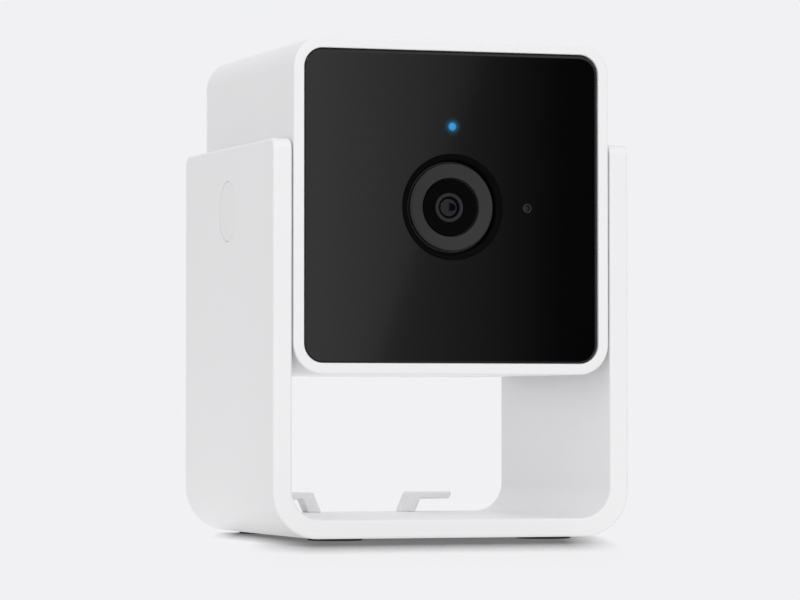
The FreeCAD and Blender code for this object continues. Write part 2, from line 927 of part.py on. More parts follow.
def make_lens(label, front, back, radius, bulge_radius, bulge):
    """A glass element with a flat rim, a domed front and a flat back."""
    body = new_body(label, z=pivot_height)
    sketch = sketch_on(body, "YZ_Plane", 0)
    chord = as_length(bulge_radius).value
    rise = as_length(bulge).value
    dome_radius = (chord**2 + rise**2) / (2 * rise)
    part_way = rise - dome_radius + (dome_radius**2 - (chord / 2) ** 2) ** 0.5
    dome = point_of(front - bulge, 0)
    on_dome = point_of(front - part_way, chord / 2)
    rim = [(front, bulge_radius), (front, radius), (back, radius), (back, 0)]
    stations = [point_of(*place) for place in rim] + [dome]
    sketch.addGeometry(Part.Arc(stations[0], on_dome, dome), False)
    for start, end in zip(stations, stations[1:]):
        sketch.addGeometry(Part.LineSegment(start, end), False)
    sketch.addConstraint(Sketcher.Constraint("Coincident", 0, START, 1, START))
    for n in range(1, 4):
        sketch.addConstraint(Sketcher.Constraint("Coincident", n, END, n + 1, START))
    sketch.addConstraint(Sketcher.Constraint("Coincident", 4, END, 0, END))
    for n, place in enumerate(rim, 1):
        pin_point(sketch, n, START, *place)
    pin_point(sketch, 0, END, front - bulge, 0)
    sketch.addConstraint(Sketcher.Constraint("PointOnObject", 0, CENTRE, HORIZONTAL_AXIS))
    turn_about_axis(body, sketch)


def make_lenses():
    front_face = barrel_front + size.barrel_cone_depth + size.retainer_thickness
    make_lens(
        "front_lens", front_face, front_face + size.front_lens_thickness,
        size.retainer_radius, size.retainer_opening, size.front_lens_bulge,
    )
    stop = barrel_front + size.middle_lens_depth
    make_lens(
        "middle_lens", stop - size.middle_lens_thickness, stop,
        size.middle_lens_radius, size.retainer_opening, size.front_lens_bulge,
    )
    rear_seat = barrel_back - size.rear_lens_depth
    make_lens(
        "rear_lens", rear_seat, rear_seat + size.rear_lens_thickness,
        size.rear_lens_radius, size.relay_radius - size.dome_margin, size.front_lens_bulge,
    )


def make_lens_holder():
    """A square foot on the sensor board with a collar round the barrel."""
    body = new_body("lens_holder", z=pivot_height)
    base_front = sensor_board_front - size.holder_base
    bore_end = holder_front + size.holder_bore_depth
    cavity_front = sensor_board_front - size.holder_cavity_depth
    add_between(
        body, "y", base_front, sensor_board_front,
        lambda s: add_rectangle(s, 0, 0, size.holder_width, size.holder_width),
    )
    add_between(
        body, "y", holder_front, base_front, lambda s: add_circle(s, 0, 0, size.holder_radius)
    )
    cut_between(
        body, "y", holder_front, bore_end,
        lambda s: add_circle(s, 0, 0, size.barrel_radius + size.lens_clearance),
    )
    cut_between(
        body, "y", bore_end, cavity_front,
        lambda s: add_circle(s, 0, 0, size.rear_lens_radius),
    )
    cut_between(
        body, "y", cavity_front, sensor_board_front,
        lambda s: add_rectangle(s, 0, 0, size.holder_cavity, size.holder_cavity),
    )


def make_sensor_pieces():
    """The filter, the image sensor and the small board that carries the holder."""
    cavity_front = sensor_board_front - size.holder_cavity_depth
    box_piece(
        "infrared_filter", cavity_front, cavity_front + size.filter_thickness,
        size.filter_width, size.filter_width,
    )
    box_piece(
        "image_sensor", sensor_board_front - size.chip_thickness, sensor_board_front,
        size.chip_width, size.chip_height,
    )
    board = box_piece(
        "sensor_board", sensor_board_front, sensor_board_back,
        size.sensor_board_width, size.sensor_board_height,
    )
    cut_between(
        board, "y", sensor_board_front, sensor_board_back,
        lambda s: draw_at_standoffs(s, size.small_screw_radius + size.small_screw_clearance),
    )
    screws = new_body("sensor_board_screws", z=pivot_height)
    add_between(
        screws, "y", sensor_board_back, sensor_board_back + size.small_screw_head_height,
        lambda s: draw_at_standoffs(s, size.small_screw_head_radius),
    )
    add_between(
        screws, "y", sensor_board_back - size.small_screw_length, sensor_board_back,
        lambda s: draw_at_standoffs(s, size.small_screw_radius),
    )


# Lights and microphone on their own board


def make_led_board():
    board = box_piece(
        "led_board", carrier_back, led_board_back, size.led_board_width, size.led_board_width
    )
    chamfer(board, size.led_board_corner, lambda e: along(e, "y"))

    def draw_holes(sketch):
        add_circle(sketch, 0, 0, size.barrel_flange_radius + size.led_board_clearance)
        draw_at_standoffs(sketch, size.standoff_radius + size.standoff_clearance)

    cut_between(board, "y", carrier_back, led_board_back, draw_holes)


def make_lights():
    body = new_body("infrared_leds", z=pivot_height)
    add_between(
        body, "y", carrier_back - size.infrared_depth, carrier_back,
        lambda s: draw_at_infrared(s, size.infrared_width),
    )
    box_piece(
        "status_led", carrier_back - size.status_led_depth, carrier_back,
        size.status_led_width, size.status_led_width, z=size.led_rise,
    )
    box_piece(
        "light_sensor", carrier_back - size.light_sensor_depth, carrier_back,
        size.light_sensor_width, size.light_sensor_width, x=-size.mic_offset,
    )


def make_status_light_pipe():
    """A clear pin through the panel with a foot over the status light."""
    body = new_body("status_light_pipe", z=pivot_height + size.led_rise)
    foot = carrier_back - size.status_led_depth - size.pipe_flange_gap
    revolve(body, [
        (panel_front, 0),
        (panel_front, size.pipe_radius),
        (carrier_front, size.pipe_radius),
        (carrier_front, size.pipe_flange_radius),
        (foot, size.pipe_flange_radius),
        (foot, 0),
    ])


def make_microphone():
    mic_front = carrier_back - size.mic_depth
    box_piece(
        "microphone", mic_front, carrier_back, size.mic_width, size.mic_height, x=size.mic_offset
    )
    boot = new_body("microphone_boot", x=size.mic_offset, z=pivot_height)
    add_between(
        boot, "y", carrier_front, mic_front, lambda s: add_circle(s, 0, 0, size.boot_radius)
    )
    cut_between(
        boot, "y", carrier_front, mic_front, lambda s: add_circle(s, 0, 0, size.mic_hole_radius)
    )


# Main board


def make_main_board():
    width = 2 * (pillar_x + size.main_board_margin)
    height = 2 * (pillar_z + size.main_board_margin)
    body = box_piece("main_board", main_board_front, main_board_back, width, height)
    cut_between(
        body, "y", main_board_front, main_board_back,
        lambda s: draw_at_pillars(s, size.board_hole_radius),
    )


def make_cooling():
    """The processor, the soft pad on it and the metal plate that spreads its heat."""
    chip_front = main_board_front - size.processor_thickness
    pad_front = chip_front - size.pad_thickness
    plate_front = pad_front - size.spreader_thickness
    box_piece(
        "processor_chip", chip_front, main_board_front, size.processor_width, size.processor_width
    )
    box_piece("thermal_pad", pad_front, chip_front, size.pad_width, size.pad_width)
    plate = box_piece(
        "heat_spreader", plate_front, pad_front, size.spreader_width, size.spreader_height
    )
    leg = size.spreader_width / 2 - size.spreader_thickness / 2

    def draw_legs(sketch):
        for way in (-1, 1):
            add_rectangle(sketch, way * leg, 0, size.spreader_thickness, size.spreader_leg_height)

    add_between(plate, "y", pad_front, main_board_front, draw_legs)


def make_wireless():
    """The radio module, in line with the left posts and just above the lower one, and its antenna."""
    post_top = size.cover_post_radius - pillar_z
    box_piece(
        "wifi_module", main_board_back, main_board_back + size.wifi_thickness,
        size.wifi_width, size.wifi_height,
        x=size.wifi_width / 2 - pillar_x, z=post_top + size.wifi_post_gap + size.wifi_height / 2,
    )
    antenna = new_body("wifi_antenna", y=size.antenna_y, z=pivot_height)
    roof = inner_height / 2
    add_between(
        antenna, "z", roof - size.antenna_thickness, roof,
        lambda s: add_rectangle(s, 0, 0, size.antenna_width, size.antenna_depth),
    )


def make_ribbon():
    """The flat cable from the sensor board down to the main board, and its two sockets."""
    sockets = new_body("ribbon_connectors", z=pivot_height)
    ribbon_front = sensor_board_back + size.connector_thickness
    ribbon_back = main_board_front - size.connector_thickness
    add_between(
        sockets, "y", sensor_board_back, ribbon_front,
        lambda s: add_rectangle(s, 0, 0, size.connector_width, size.connector_height),
    )
    add_between(
        sockets, "y", ribbon_back, main_board_front,
        lambda s: add_rectangle(
            s, 0, -size.ribbon_drop, size.connector_width, size.connector_height
        ),
    )
    ribbon = new_body("sensor_ribbon", z=pivot_height)
    path = sketch_on(ribbon, "YZ_Plane", 0)
    draw_ribbon_path(path, ribbon_front, ribbon_back)
    profile = sketch_on(ribbon, "XZ_Plane", -ribbon_front)
    add_rectangle(profile, 0, 0, size.ribbon_width, size.ribbon_thickness)
    pipe = ribbon.newObject("PartDesign::AdditivePipe", "sensor_ribbon_pipe")
    pipe.Profile = profile
    pipe.Spine = path
    doc.recompute()


def draw_ribbon_path(sketch, front, back):
    """Rearward, a quarter turn down, down, a quarter turn rearward, and on to the socket."""
    bend = size.ribbon_bend_radius
    turn = size.ribbon_turn_y
    drop = size.ribbon_drop
    ease = as_length(bend).value * (1 - 0.5**0.5)
    first_bend = [point_of(turn - bend, 0), point_of(turn, 0), point_of(turn, -bend)]
    first_bend[1] += FreeCAD.Vector(-ease, -ease, 0)
    second_bend = [point_of(turn, bend - drop), point_of(turn, -drop), point_of(turn + bend, -drop)]
    second_bend[1] += FreeCAD.Vector(ease, ease, 0)
    pieces = [
        Part.LineSegment(point_of(front, 0), first_bend[0]),
        Part.Arc(*first_bend),
        Part.LineSegment(first_bend[2], second_bend[0]),
        Part.Arc(*second_bend),
        Part.LineSegment(second_bend[2], point_of(back, -drop)),
    ]
    for piece in pieces:
        sketch.addGeometry(piece, False)
    # A sketch counts every arc anticlockwise, so the first bend starts at its lower end
    for joint in ((0, END, 1, END), (1, START, 2, START), (2, END, 3, START), (3, END, 4, START)):
        sketch.addConstraint(Sketcher.Constraint("Tangent", *joint))
    pin_point(sketch, 0, START, front, 0)
    sketch.addConstraint(Sketcher.Constraint("Horizontal", 0))
    sketch.addConstraint(Sketcher.Constraint("Vertical", 2))
    sketch.addConstraint(Sketcher.Constraint("Horizontal", 4))
    dimension(sketch, "Radius", (1,), bend)
    sketch.addConstraint(Sketcher.Constraint("Equal", 1, 3))
    dimension(sketch, "DistanceX", (*ORIGIN_POINT, 2, START), turn)
    pin_point(sketch, 4, END, back, -drop)


# Rear cover


def make_rear_cover():
    """The plate that closes the head, with the grille, two openings and four screw posts."""
    body = new_body("rear_cover", z=pivot_height)
    add_between(body, "y", cover_front, cover_back, lambda s: draw_cover_outline(s, size.cover_gap))
    add_between(
        body, "y", main_board_back, cover_front,
        lambda s: draw_at_pillars(s, size.cover_post_radius),
    )
    sleeve_bore = size.button_radius + size.button_gap
    add_between(
        body, "y", sleeve_end, cover_front,
        lambda s: add_circle(s, size.reset_x, -size.reset_drop, sleeve_bore + size.sleeve_wall),
    )
    cut_between(
        body, "y", sleeve_end, cover_back,
        lambda s: add_circle(s, size.reset_x, -size.reset_drop, sleeve_bore),
    )
    opening_height = size.usb_height + 2 * size.usb_opening_gap
    cut_between(
        body, "y", cover_front, cover_back,
        lambda s: add_rounded_rectangle(
            s, 0, -size.usb_drop, size.usb_width + 2 * size.usb_opening_gap, opening_height,
            (opening_height - size.usb_end_flat) / 2,
        ),
    )
    cut_between(
        body, "y", main_board_back, cover_back - size.screw_well_depth,
        lambda s: draw_at_pillars(s, size.board_hole_radius),
    )
    cut_between(
        body, "y", cover_back - size.screw_well_depth, cover_back,
        lambda s: draw_at_pillars(s, size.screw_well_radius),
    )
    make_grille(body)


def make_grille(body):
    """A round opening for the speaker with upright bars across it, sunk below the cover's face."""
    cut_between(
        body, "y", cover_front, cover_back,
        lambda s: add_circle(s, 0, size.speaker_rise, size.grille_radius),
    )
    bar_height = 2 * (size.grille_radius + size.grille_bar_root)

    def draw_bars(sketch):
        for step in (-5, -3, -1, 1, 3, 5):
            x = step * size.grille_pitch / 2
            add_rectangle(sketch, x, size.speaker_rise, size.grille_bar_width, bar_height)

    add_between(body, "y", cover_front, cover_back - size.grille_bar_recess, draw_bars)


def make_case_screws():
    body = new_body("case_screws", z=pivot_height)
    head_under = cover_back - size.screw_well_depth
    add_between(
        body, "y", head_under, head_under + size.case_screw_head_height,
        lambda s: draw_at_pillars(s, size.case_screw_head_radius),
    )
    add_between(
        body, "y", main_board_front - size.case_screw_reach, head_under,
        lambda s: draw_at_pillars(s, size.case_screw_radius),
    )


# Speaker


def make_speaker():
    """A shallow can with a magnet behind it, a cone inside it and a soft ring on its rim."""
    centre = pivot_height + size.speaker_rise
    wall = size.basket_wall
    frame = new_body("speaker_frame", z=centre)
    revolve(frame, [
        (gasket_front, size.speaker_radius - wall),
        (gasket_front, size.speaker_radius),
        (basket_back, size.speaker_radius),
        (basket_back, 0),
        (basket_back + wall, 0),
        (basket_back + wall, size.speaker_radius - wall),
    ])
    magnet = new_body("speaker_magnet", z=centre)
    add_between(
        magnet, "y", basket_back - size.magnet_thickness, basket_back,
        lambda s: add_circle(s, 0, 0, size.magnet_radius),
    )
    cone = new_body("speaker_cone", z=centre)
    cone_radius = size.speaker_radius - wall - size.cone_clearance
    throat = gasket_front - size.cone_drop
    revolve(cone, [
        (gasket_front, cone_radius),
        (gasket_front - size.cone_thickness, cone_radius),
        (throat - size.cone_thickness, 0),
        (throat, 0),
    ])
    gasket = new_body("speaker_gasket", z=centre)

    def draw_gasket(sketch):
        add_circle(sketch, 0, 0, size.speaker_radius)
        add_circle(sketch, 0, 0, size.speaker_radius - size.gasket_width)

    add_between(gasket, "y", gasket_front, cover_front, draw_gasket)


# Power socket and reset button


def make_usb_socket():
    socket = new_body("usb_socket", z=pivot_height - size.usb_drop)
    rounding = (size.usb_height - size.usb_end_flat) / 2
    add_between(
        socket, "y", main_board_back, usb_mouth,
        lambda s: add_rounded_rectangle(s, 0, 0, size.usb_width, size.usb_height, rounding),
    )
    floor = main_board_back + size.usb_floor
    cut_between(
        socket, "y", floor, usb_mouth,
        lambda s: add_rounded_rectangle(
            s, 0, 0, size.usb_width - 2 * size.usb_wall, size.usb_height - 2 * size.usb_wall,
            rounding - size.usb_wall,
        ),
    )
    box_piece(
        "usb_tongue", floor, usb_mouth - size.tongue_setback,
        size.tongue_width, size.tongue_height, z=-size.usb_drop,
    )


def make_reset_button():
    """The button, the switch under it and the switch's own plunger."""
    place = {"x": size.reset_x, "z": pivot_height - size.reset_drop}
    button = new_body("reset_button", **place)
    revolve(button, [
        (plunger_top, 0),
        (plunger_top, size.button_radius),
        (sleeve_end - size.button_flange_thickness, size.button_radius),
        (sleeve_end - size.button_flange_thickness, size.button_flange_radius),
        (sleeve_end, size.button_flange_radius),
        (sleeve_end, size.button_radius),
        (cover_back - size.button_recess, size.button_radius),
        (cover_back - size.button_recess, 0),
    ])
    switch = box_piece(
        "reset_switch", main_board_back, switch_top, size.switch_width, size.switch_width,
        x=size.reset_x, z=-size.reset_drop,
    )
    cut_between(
        switch, "y", switch_top - size.switch_well_depth, switch_top,
        lambda s: add_circle(s, 0, 0, size.plunger_radius + size.button_gap),
    )
    plunger = new_body("switch_plunger", **place)
    add_between(
        plunger, "y", switch_top - size.plunger_depth, plunger_top,
        lambda s: add_circle(s, 0, 0, size.plunger_radius),
    )


def make_everything():
    make_stand_frame()
    make_rubber_feet()
    for side, way in sides.items():
        make_cable_hook(side, way)
        make_pivot_cap(side, way)
        make_friction_washer(side, way)
        make_pivot_screw(side, way)
        make_pivot_nut(side, way)
    make_head_shell()
    make_front_panel()
    make_front_carrier()
    make_lens_bezel()
    make_lens_barrel()
    make_lens_retainer()
    make_lenses()
    make_lens_holder()
    make_sensor_pieces()
    make_led_board()
    make_lights()
    make_status_light_pipe()
    make_microphone()
    make_main_board()
    make_cooling()
    make_wireless()
    make_ribbon()
    make_rear_cover()
    make_case_screws()
    make_speaker()
    make_usb_socket()
    make_reset_button()


def check_and_write():
    """Stops on any failed object or broken shape, and then writes one file for each sub-part."""
    doc.recompute()
    for item in doc.Objects:
        if "Invalid" in item.State or "Error" in item.State:
            raise ValueError(f"{item.Label} failed: {item.State}")
    for part in parts:
        if part.Shape.isNull() or not part.Shape.isValid() or not part.Shape.Solids:
            raise ValueError(f"{part.Label} has no sound shape")
    os.makedirs("parts", exist_ok=True)
    for part in parts:
        part.Shape.exportStep(f"parts/{part.Label}.step")
        box = part.Shape.BoundBox
        print(
            f"{part.Label:22s} {len(part.Shape.Solids)} solids {part.Shape.Volume:9.1f} mm3"
            f"  x {box.XMin:6.2f} {box.XMax:6.2f}  y {box.YMin:6.2f} {box.YMax:6.2f}"
            f"  z {box.ZMin:6.2f} {box.ZMax:6.2f}"
        )


make_everything()
check_and_write()
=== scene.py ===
import math

import bmesh
import bpy
from mathutils import Matrix, Vector


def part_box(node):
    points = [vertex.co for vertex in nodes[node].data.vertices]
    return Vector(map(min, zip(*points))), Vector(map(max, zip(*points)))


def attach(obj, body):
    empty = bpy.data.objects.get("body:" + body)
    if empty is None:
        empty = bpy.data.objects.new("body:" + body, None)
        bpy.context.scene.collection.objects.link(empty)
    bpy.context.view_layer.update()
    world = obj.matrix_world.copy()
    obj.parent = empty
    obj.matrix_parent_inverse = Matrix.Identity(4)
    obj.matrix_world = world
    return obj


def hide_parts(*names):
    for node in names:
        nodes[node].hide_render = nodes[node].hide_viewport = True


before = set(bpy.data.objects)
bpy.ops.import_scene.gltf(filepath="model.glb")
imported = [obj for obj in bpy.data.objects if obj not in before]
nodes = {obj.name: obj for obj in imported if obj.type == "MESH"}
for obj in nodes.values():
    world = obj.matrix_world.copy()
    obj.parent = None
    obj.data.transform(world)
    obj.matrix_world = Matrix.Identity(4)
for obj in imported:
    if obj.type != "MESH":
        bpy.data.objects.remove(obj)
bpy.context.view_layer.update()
scene = bpy.context.scene
print("frame loaded,", len(nodes), "nodes")

# All shapes are drawn in millimetres and become metres when a piece is finished.


def metres(point):
    return tuple(part / 1000 for part in point)


def corners(node):
    low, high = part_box(node)
    return low * 1000, high * 1000


def linear(level):  # 0 to 255 on screen to the light that gives it
    share = level / 255
    return share / 12.92 if share <= 0.04045 else ((share + 0.055) / 1.055) ** 2.4


# camera, at the photograph's angle

view = {
    "focalPixels": 4056.0,
    "imageWidth": 800,
    "turn": 18.28,      # degrees to the left of the lens
    "rise": 1.58,       # degrees that it looks up
    "aimHeight": 40.0,
    "distance": 683.85,
    "aside": 0.285,
    "lift": 0.324,
}


def makeCamera():
    turn, rise = math.radians(view["turn"]), math.radians(view["rise"])
    level = Vector((math.sin(turn), math.cos(turn), 0))
    ahead = level * math.cos(rise) + Vector((0, 0, math.sin(rise)))
    right = Vector((math.cos(turn), -math.sin(turn), 0))
    up = right.cross(ahead)
    place = Vector((0, 0, view["aimHeight"])) - ahead * view["distance"]
    place -= right * view["aside"] + up * view["lift"]
    data = bpy.data.cameras.new("camera")
    data.sensor_width = 36
    data.lens = 36 * view["focalPixels"] / view["imageWidth"]
    data.clip_start, data.clip_end = 0.02, 50
    camera = bpy.data.objects.new("camera", data)
    turned = Matrix((right, up, -ahead)).transposed().to_4x4()
    camera.matrix_world = Matrix.Translation(place / 1000) @ turned
    scene.collection.objects.link(camera)
    scene.camera = camera


makeCamera()
print("camera placed")

# shader and geometry graphs


class Wire:
    # one output socket; the operators add Math nodes, or Vector Math nodes on vectors
    def __init__(self, graph, socket):
        self.graph = graph
        self.socket = socket

    def combine(self, operation, *values):
        kinds = {value.socket.type for value in values if isinstance(value, Wire)}
        kind = "ShaderNodeVectorMath" if "VECTOR" in kinds else "ShaderNodeMath"
        return self.graph.add(kind, {"operation": operation}, dict(enumerate(values)))

    def __add__(self, other):
        return self.combine("ADD", self, other)

    def __radd__(self, other):
        return self.combine("ADD", other, self)

    def __sub__(self, other):
        return self.combine("SUBTRACT", self, other)

    def __rsub__(self, other):
        return self.combine("SUBTRACT", other, self)

    def __mul__(self, other):
        return self.combine("MULTIPLY", self, other)

    def __rmul__(self, other):
        return self.combine("MULTIPLY", other, self)

    def __truediv__(self, other):
        return self.combine("DIVIDE", self, other)

    def __pow__(self, other):
        return self.combine("POWER", self, other)

    def wave(self):
        return self.graph.add("ShaderNodeMath", {"operation": "SINE"}, {0: self})

    def held(self):  # kept between 0 and 1
        settings = {"operation": "ADD", "use_clamp": True}
        return self.graph.add("ShaderNodeMath", settings, {0: self, 1: 0.0})


class Graph:
    def __init__(self, tree):
        self.tree = tree
        tree.nodes.clear()

    def add(self, kind, settings=None, inputs=None, out=0):
        node = self.tree.nodes.new(kind)
        for name, value in (settings or {}).items():
            setattr(node, name, value)
        for key, value in (inputs or {}).items():
            self.feed(node.inputs[key], value)
        return Wire(self, node.outputs[out]) if len(node.outputs) else node

    def vector(self, operation, first, second=None, out=0):
        inputs = {0: first} if second is None else {0: first, 1: second}
        return self.add("ShaderNodeVectorMath", {"operation": operation}, inputs, out)

    def parts(self, vector):  # its X, Y and Z
        node = self.tree.nodes.new("ShaderNodeSeparateXYZ")
        self.feed(node.inputs[0], vector)
        return [Wire(self, socket) for socket in node.outputs]

    def feed(self, socket, value):
        if isinstance(value, Wire):
            self.tree.links.new(value.socket, socket)
        elif socket.type == "RGBA" and len(value) == 3:
            socket.default_value = (*value, 1.0)
        else:
            socket.default_value = value


def newMaterial(name):  # with its graph and its Object coordinates
    material = bpy.data.materials.new(name)
    material.use_nodes = True
    graph = Graph(material.node_tree)
    return material, graph, graph.add("ShaderNodeTexCoord", out=3)


def closeMaterial(graph, surface):
    graph.add("ShaderNodeOutputMaterial", {}, {"Surface": surface})


def principled(material, graph, inputs):
    closeMaterial(graph, graph.add("ShaderNodeBsdfPrincipled", {}, inputs))
    return material


def mixed(graph, share, low, high):
    return graph.add(
        "ShaderNodeMix", {"data_type": "RGBA"}, {"Factor": share, 6: low, 7: high}, out=2
    )


def grain(graph, place, size, detail=2.0):  # noise whose features are about size millimetres wide
    return graph.add(
        "ShaderNodeTexNoise", {}, {"Vector": place, "Scale": 1000 / size, "Detail": detail}
    )


def relief(graph, height, depth):  # depth in millimetres
    return graph.add("ShaderNodeBump", {}, {
        "Height": height, "Strength": 1.0, "Distance": depth / 1000,
    })


def distance(graph, place, centre):  # in millimetres
    return graph.vector("DISTANCE", place, metres(centre), out=1) * 1000


def fineRings(graph, place, centre, pitch):  # rings about an axis along Y, and the radius
    across = graph.vector("MULTIPLY", place - metres(centre), (1, 0, 1))
    radius = graph.vector("LENGTH", across, out=1)
    return (radius * (2000 * math.pi / pitch)).wave() * 0.5 + 0.5, radius * 1000


def dimmed(colour, share):
    return tuple(share * part for part in colour)


# finishes


def mouldedPlastic(name, colour, roughness, grainSize=0.35, grainDepth=0.004, sheen=0.5):
    # satin moulding: a very fine spark-eroded grain, and slow changes of tone and gloss
    material, graph, place = newMaterial(name)
    fine = grain(graph, place, grainSize, 3.0)
    slow = grain(graph, place, 22.0)
    return principled(material, graph, {
        "Base Color": mixed(graph, slow, dimmed(colour, 0.975), colour),
        "Roughness": roughness + (fine - 0.5) * 0.10 + (slow - 0.5) * 0.05,
        "Specular IOR Level": sheen,
        "Normal": relief(graph, fine, grainDepth),
    })


def glossyFace(name):
    # polished black that passes infrared, with a painted glow of the status light around it, as if
    # its light bled a little into the face
    material, graph, place = newMaterial(name)
    swirl = grain(graph, place, 9.0, 1.0)
    dust = grain(graph, place, 0.9, 4.0)
    # painted glow: the face itself shines blue, brightest next to the status light
    away = distance(graph, place, statusLight["centre"])
    glow = (1 - away / statusLight["haloRadius"]).held() ** statusLight["haloPower"]
    return principled(material, graph, {
        "Base Color": (0.0018, 0.0018, 0.0021),
        "Roughness": 0.045 + swirl * 0.02 + (dust - 0.62).held() * 0.25,
        "Normal": relief(graph, swirl, 0.0006),
        "Emission Color": mixed(graph, glow, (0.0, 0.0, 0.0), statusLight["halo"]),
        "Emission Strength": 1.0,
    })


def turnedRing(name, colour, roughness, pitch, depth, sheen, polished=None):
    # matte black with fine rings about the lens's axis, as a turned mould leaves; it is shinier
    # inside the first of the polished radii and outside the second
    material, graph, place = newMaterial(name)
    rings, radius = fineRings(graph, place, lensCentre, pitch)
    fine = grain(graph, place, 0.25, 3.0)
    rough = roughness + (fine - 0.5) * 0.12
    if polished:
        inside = ((polished[0] - radius) / 0.08).held()
        outside = ((radius - polished[1]) / 0.08).held()
        rough = rough - (inside + outside) * 0.24
    return principled(material, graph, {
        "Base Color": mixed(graph, fine, dimmed(colour, 0.8), colour),
        "Roughness": rough,
        "Specular IOR Level": sheen,
        "Normal": relief(graph, rings * 0.7 + fine * 0.3, depth),
    })


def coatedGlass(name, tint, rimTint):
    # dark lens glass with the violet and green cast of its coating
    material, graph, place = newMaterial(name)
    cast = grain(graph, place, 3.0, 1.0)
    facing = graph.add("ShaderNodeLayerWeight", {}, {"Blend": 0.35}, out=1)
    return principled(material, graph, {
        "Base Color": mixed(graph, facing, tint, rimTint),
        "Roughness": 0.02 + cast * 0.02,
        "IOR": 1.5,
        "Specular IOR Level": 0.22,
        "Transmission Weight": 0.3,
    })


def litPin(name):
    # the end of the light pipe: pale in the middle, deep blue at its rim
    material, graph, place = newMaterial(name)
    away = distance(graph, place, statusLight["centre"])
    rim = (away / statusLight["radius"]).held() ** 2.0
    return principled(material, graph, {
        "Base Color": (0.01, 0.05, 0.1),
        "Roughness": 0.3,
        "Emission Color": mixed(graph, rim, statusLight["core"], statusLight["rim"]),
        "Emission Strength": 1.0,
    })


def softRubber(name, colour):
    material, graph, place = newMaterial(name)
    fine = grain(graph, place, 0.3, 4.0)
    return principled(material, graph, {
        "Base Color": mixed(graph, fine, dimmed(colour, 0.7), colour),
        "Roughness": 0.78 + fine * 0.15,
        "Specular IOR Level": 0.3,
        "Normal": relief(graph, fine, 0.02),
    })


def platedMetal(name, colour, roughness, along):
    # drawn and plated metal, its fine lines stretched along one axis
    material, graph, place = newMaterial(name)
    stretched = graph.add("ShaderNodeMapping", {}, {"Vector": place, "Scale": along})
    lines = grain(graph, stretched, 0.15, 3.0)
    patches = grain(graph, place, 2.5)
    return principled(material, graph, {
        "Base Color": mixed(graph, patches, dimmed(colour, 0.85), colour),
        "Metallic": 1.0,
        "Roughness": roughness + (lines - 0.5) * 0.2,
        "Normal": relief(graph, lines, 0.003),
    })


def circuitBoard(name):
    # green mask over copper: a grid of tracks shows through it, with small plated holes
    material, graph, place = newMaterial(name)
    upright = graph.add("ShaderNodeMapping", {}, {"Vector": place, "Rotation": (math.pi / 2, 0, 0)})
    layout = {"offset": 0.37, "squash": 0.6, "squash_frequency": 3}
    tracks = graph.add("ShaderNodeTexBrick", layout, {
        "Vector": upright, "Scale": 210.0, "Mortar Size": 0.07, "Mortar Smooth": 0.15,
    }, out=1)
    holes = graph.add("ShaderNodeTexVoronoi", {}, {"Vector": place, "Scale": 330.0})
    pads = ((0.16 - holes) * 30).held()
    mask = mixed(graph, tracks, (0.012, 0.10, 0.035), (0.03, 0.19, 0.07))
    return principled(material, graph, {
        "Base Color": mixed(graph, pads, mask, (0.72, 0.55, 0.25)),
        "Metallic": pads,
        "Roughness": 0.32 + grain(graph, place, 1.2) * 0.12,
        "Normal": relief(graph, tracks + pads, 0.03),
    })


def thinFilm(name, colour, stripes):
    # flat cable: conductors run along it under an amber film
    material, graph, place = newMaterial(name)
    lines = ((graph.parts(place)[0] * (2000 * math.pi / stripes)).wave() * 0.5 + 0.5) ** 2.0
    return principled(material, graph, {
        "Base Color": mixed(graph, lines, colour, (0.62, 0.33, 0.12)),
        "Roughness": 0.3 + grain(graph, place, 2.0) * 0.1,
        "Normal": relief(graph, lines, 0.02),
    })


def pressedCone(name):
    # speaker film with shallow ribs about its own axis
    material, graph, place = newMaterial(name)
    low, high = corners("speaker_cone")
    ribs, _ = fineRings(graph, place, (low + high) / 2, 1.6)
    return principled(material, graph, {
        "Base Color": mixed(graph, ribs, (0.02, 0.02, 0.021), (0.06, 0.06, 0.062)),
        "Roughness": 0.55 + grain(graph, place, 0.6) * 0.2,
        "Normal": relief(graph, ribs, 0.12),
    })


statusLight = {
    "centre": (0.0, -26.40, 67.2),
    "radius": 0.65,
    "flangeRadius": 1.4,
    "flangeHeight": 1.1,
    # the halo is a glow painted on the black face round the light
    "haloRadius": 1.9,
    "haloPower": 3.2,
    "core": (0.020, 0.265, 0.60),
    "rim": (0.007, 0.15, 0.35),
    "halo": (0.018, 0.33, 0.58),
}
lensCentre = (0.0, -25.0, 54.1)

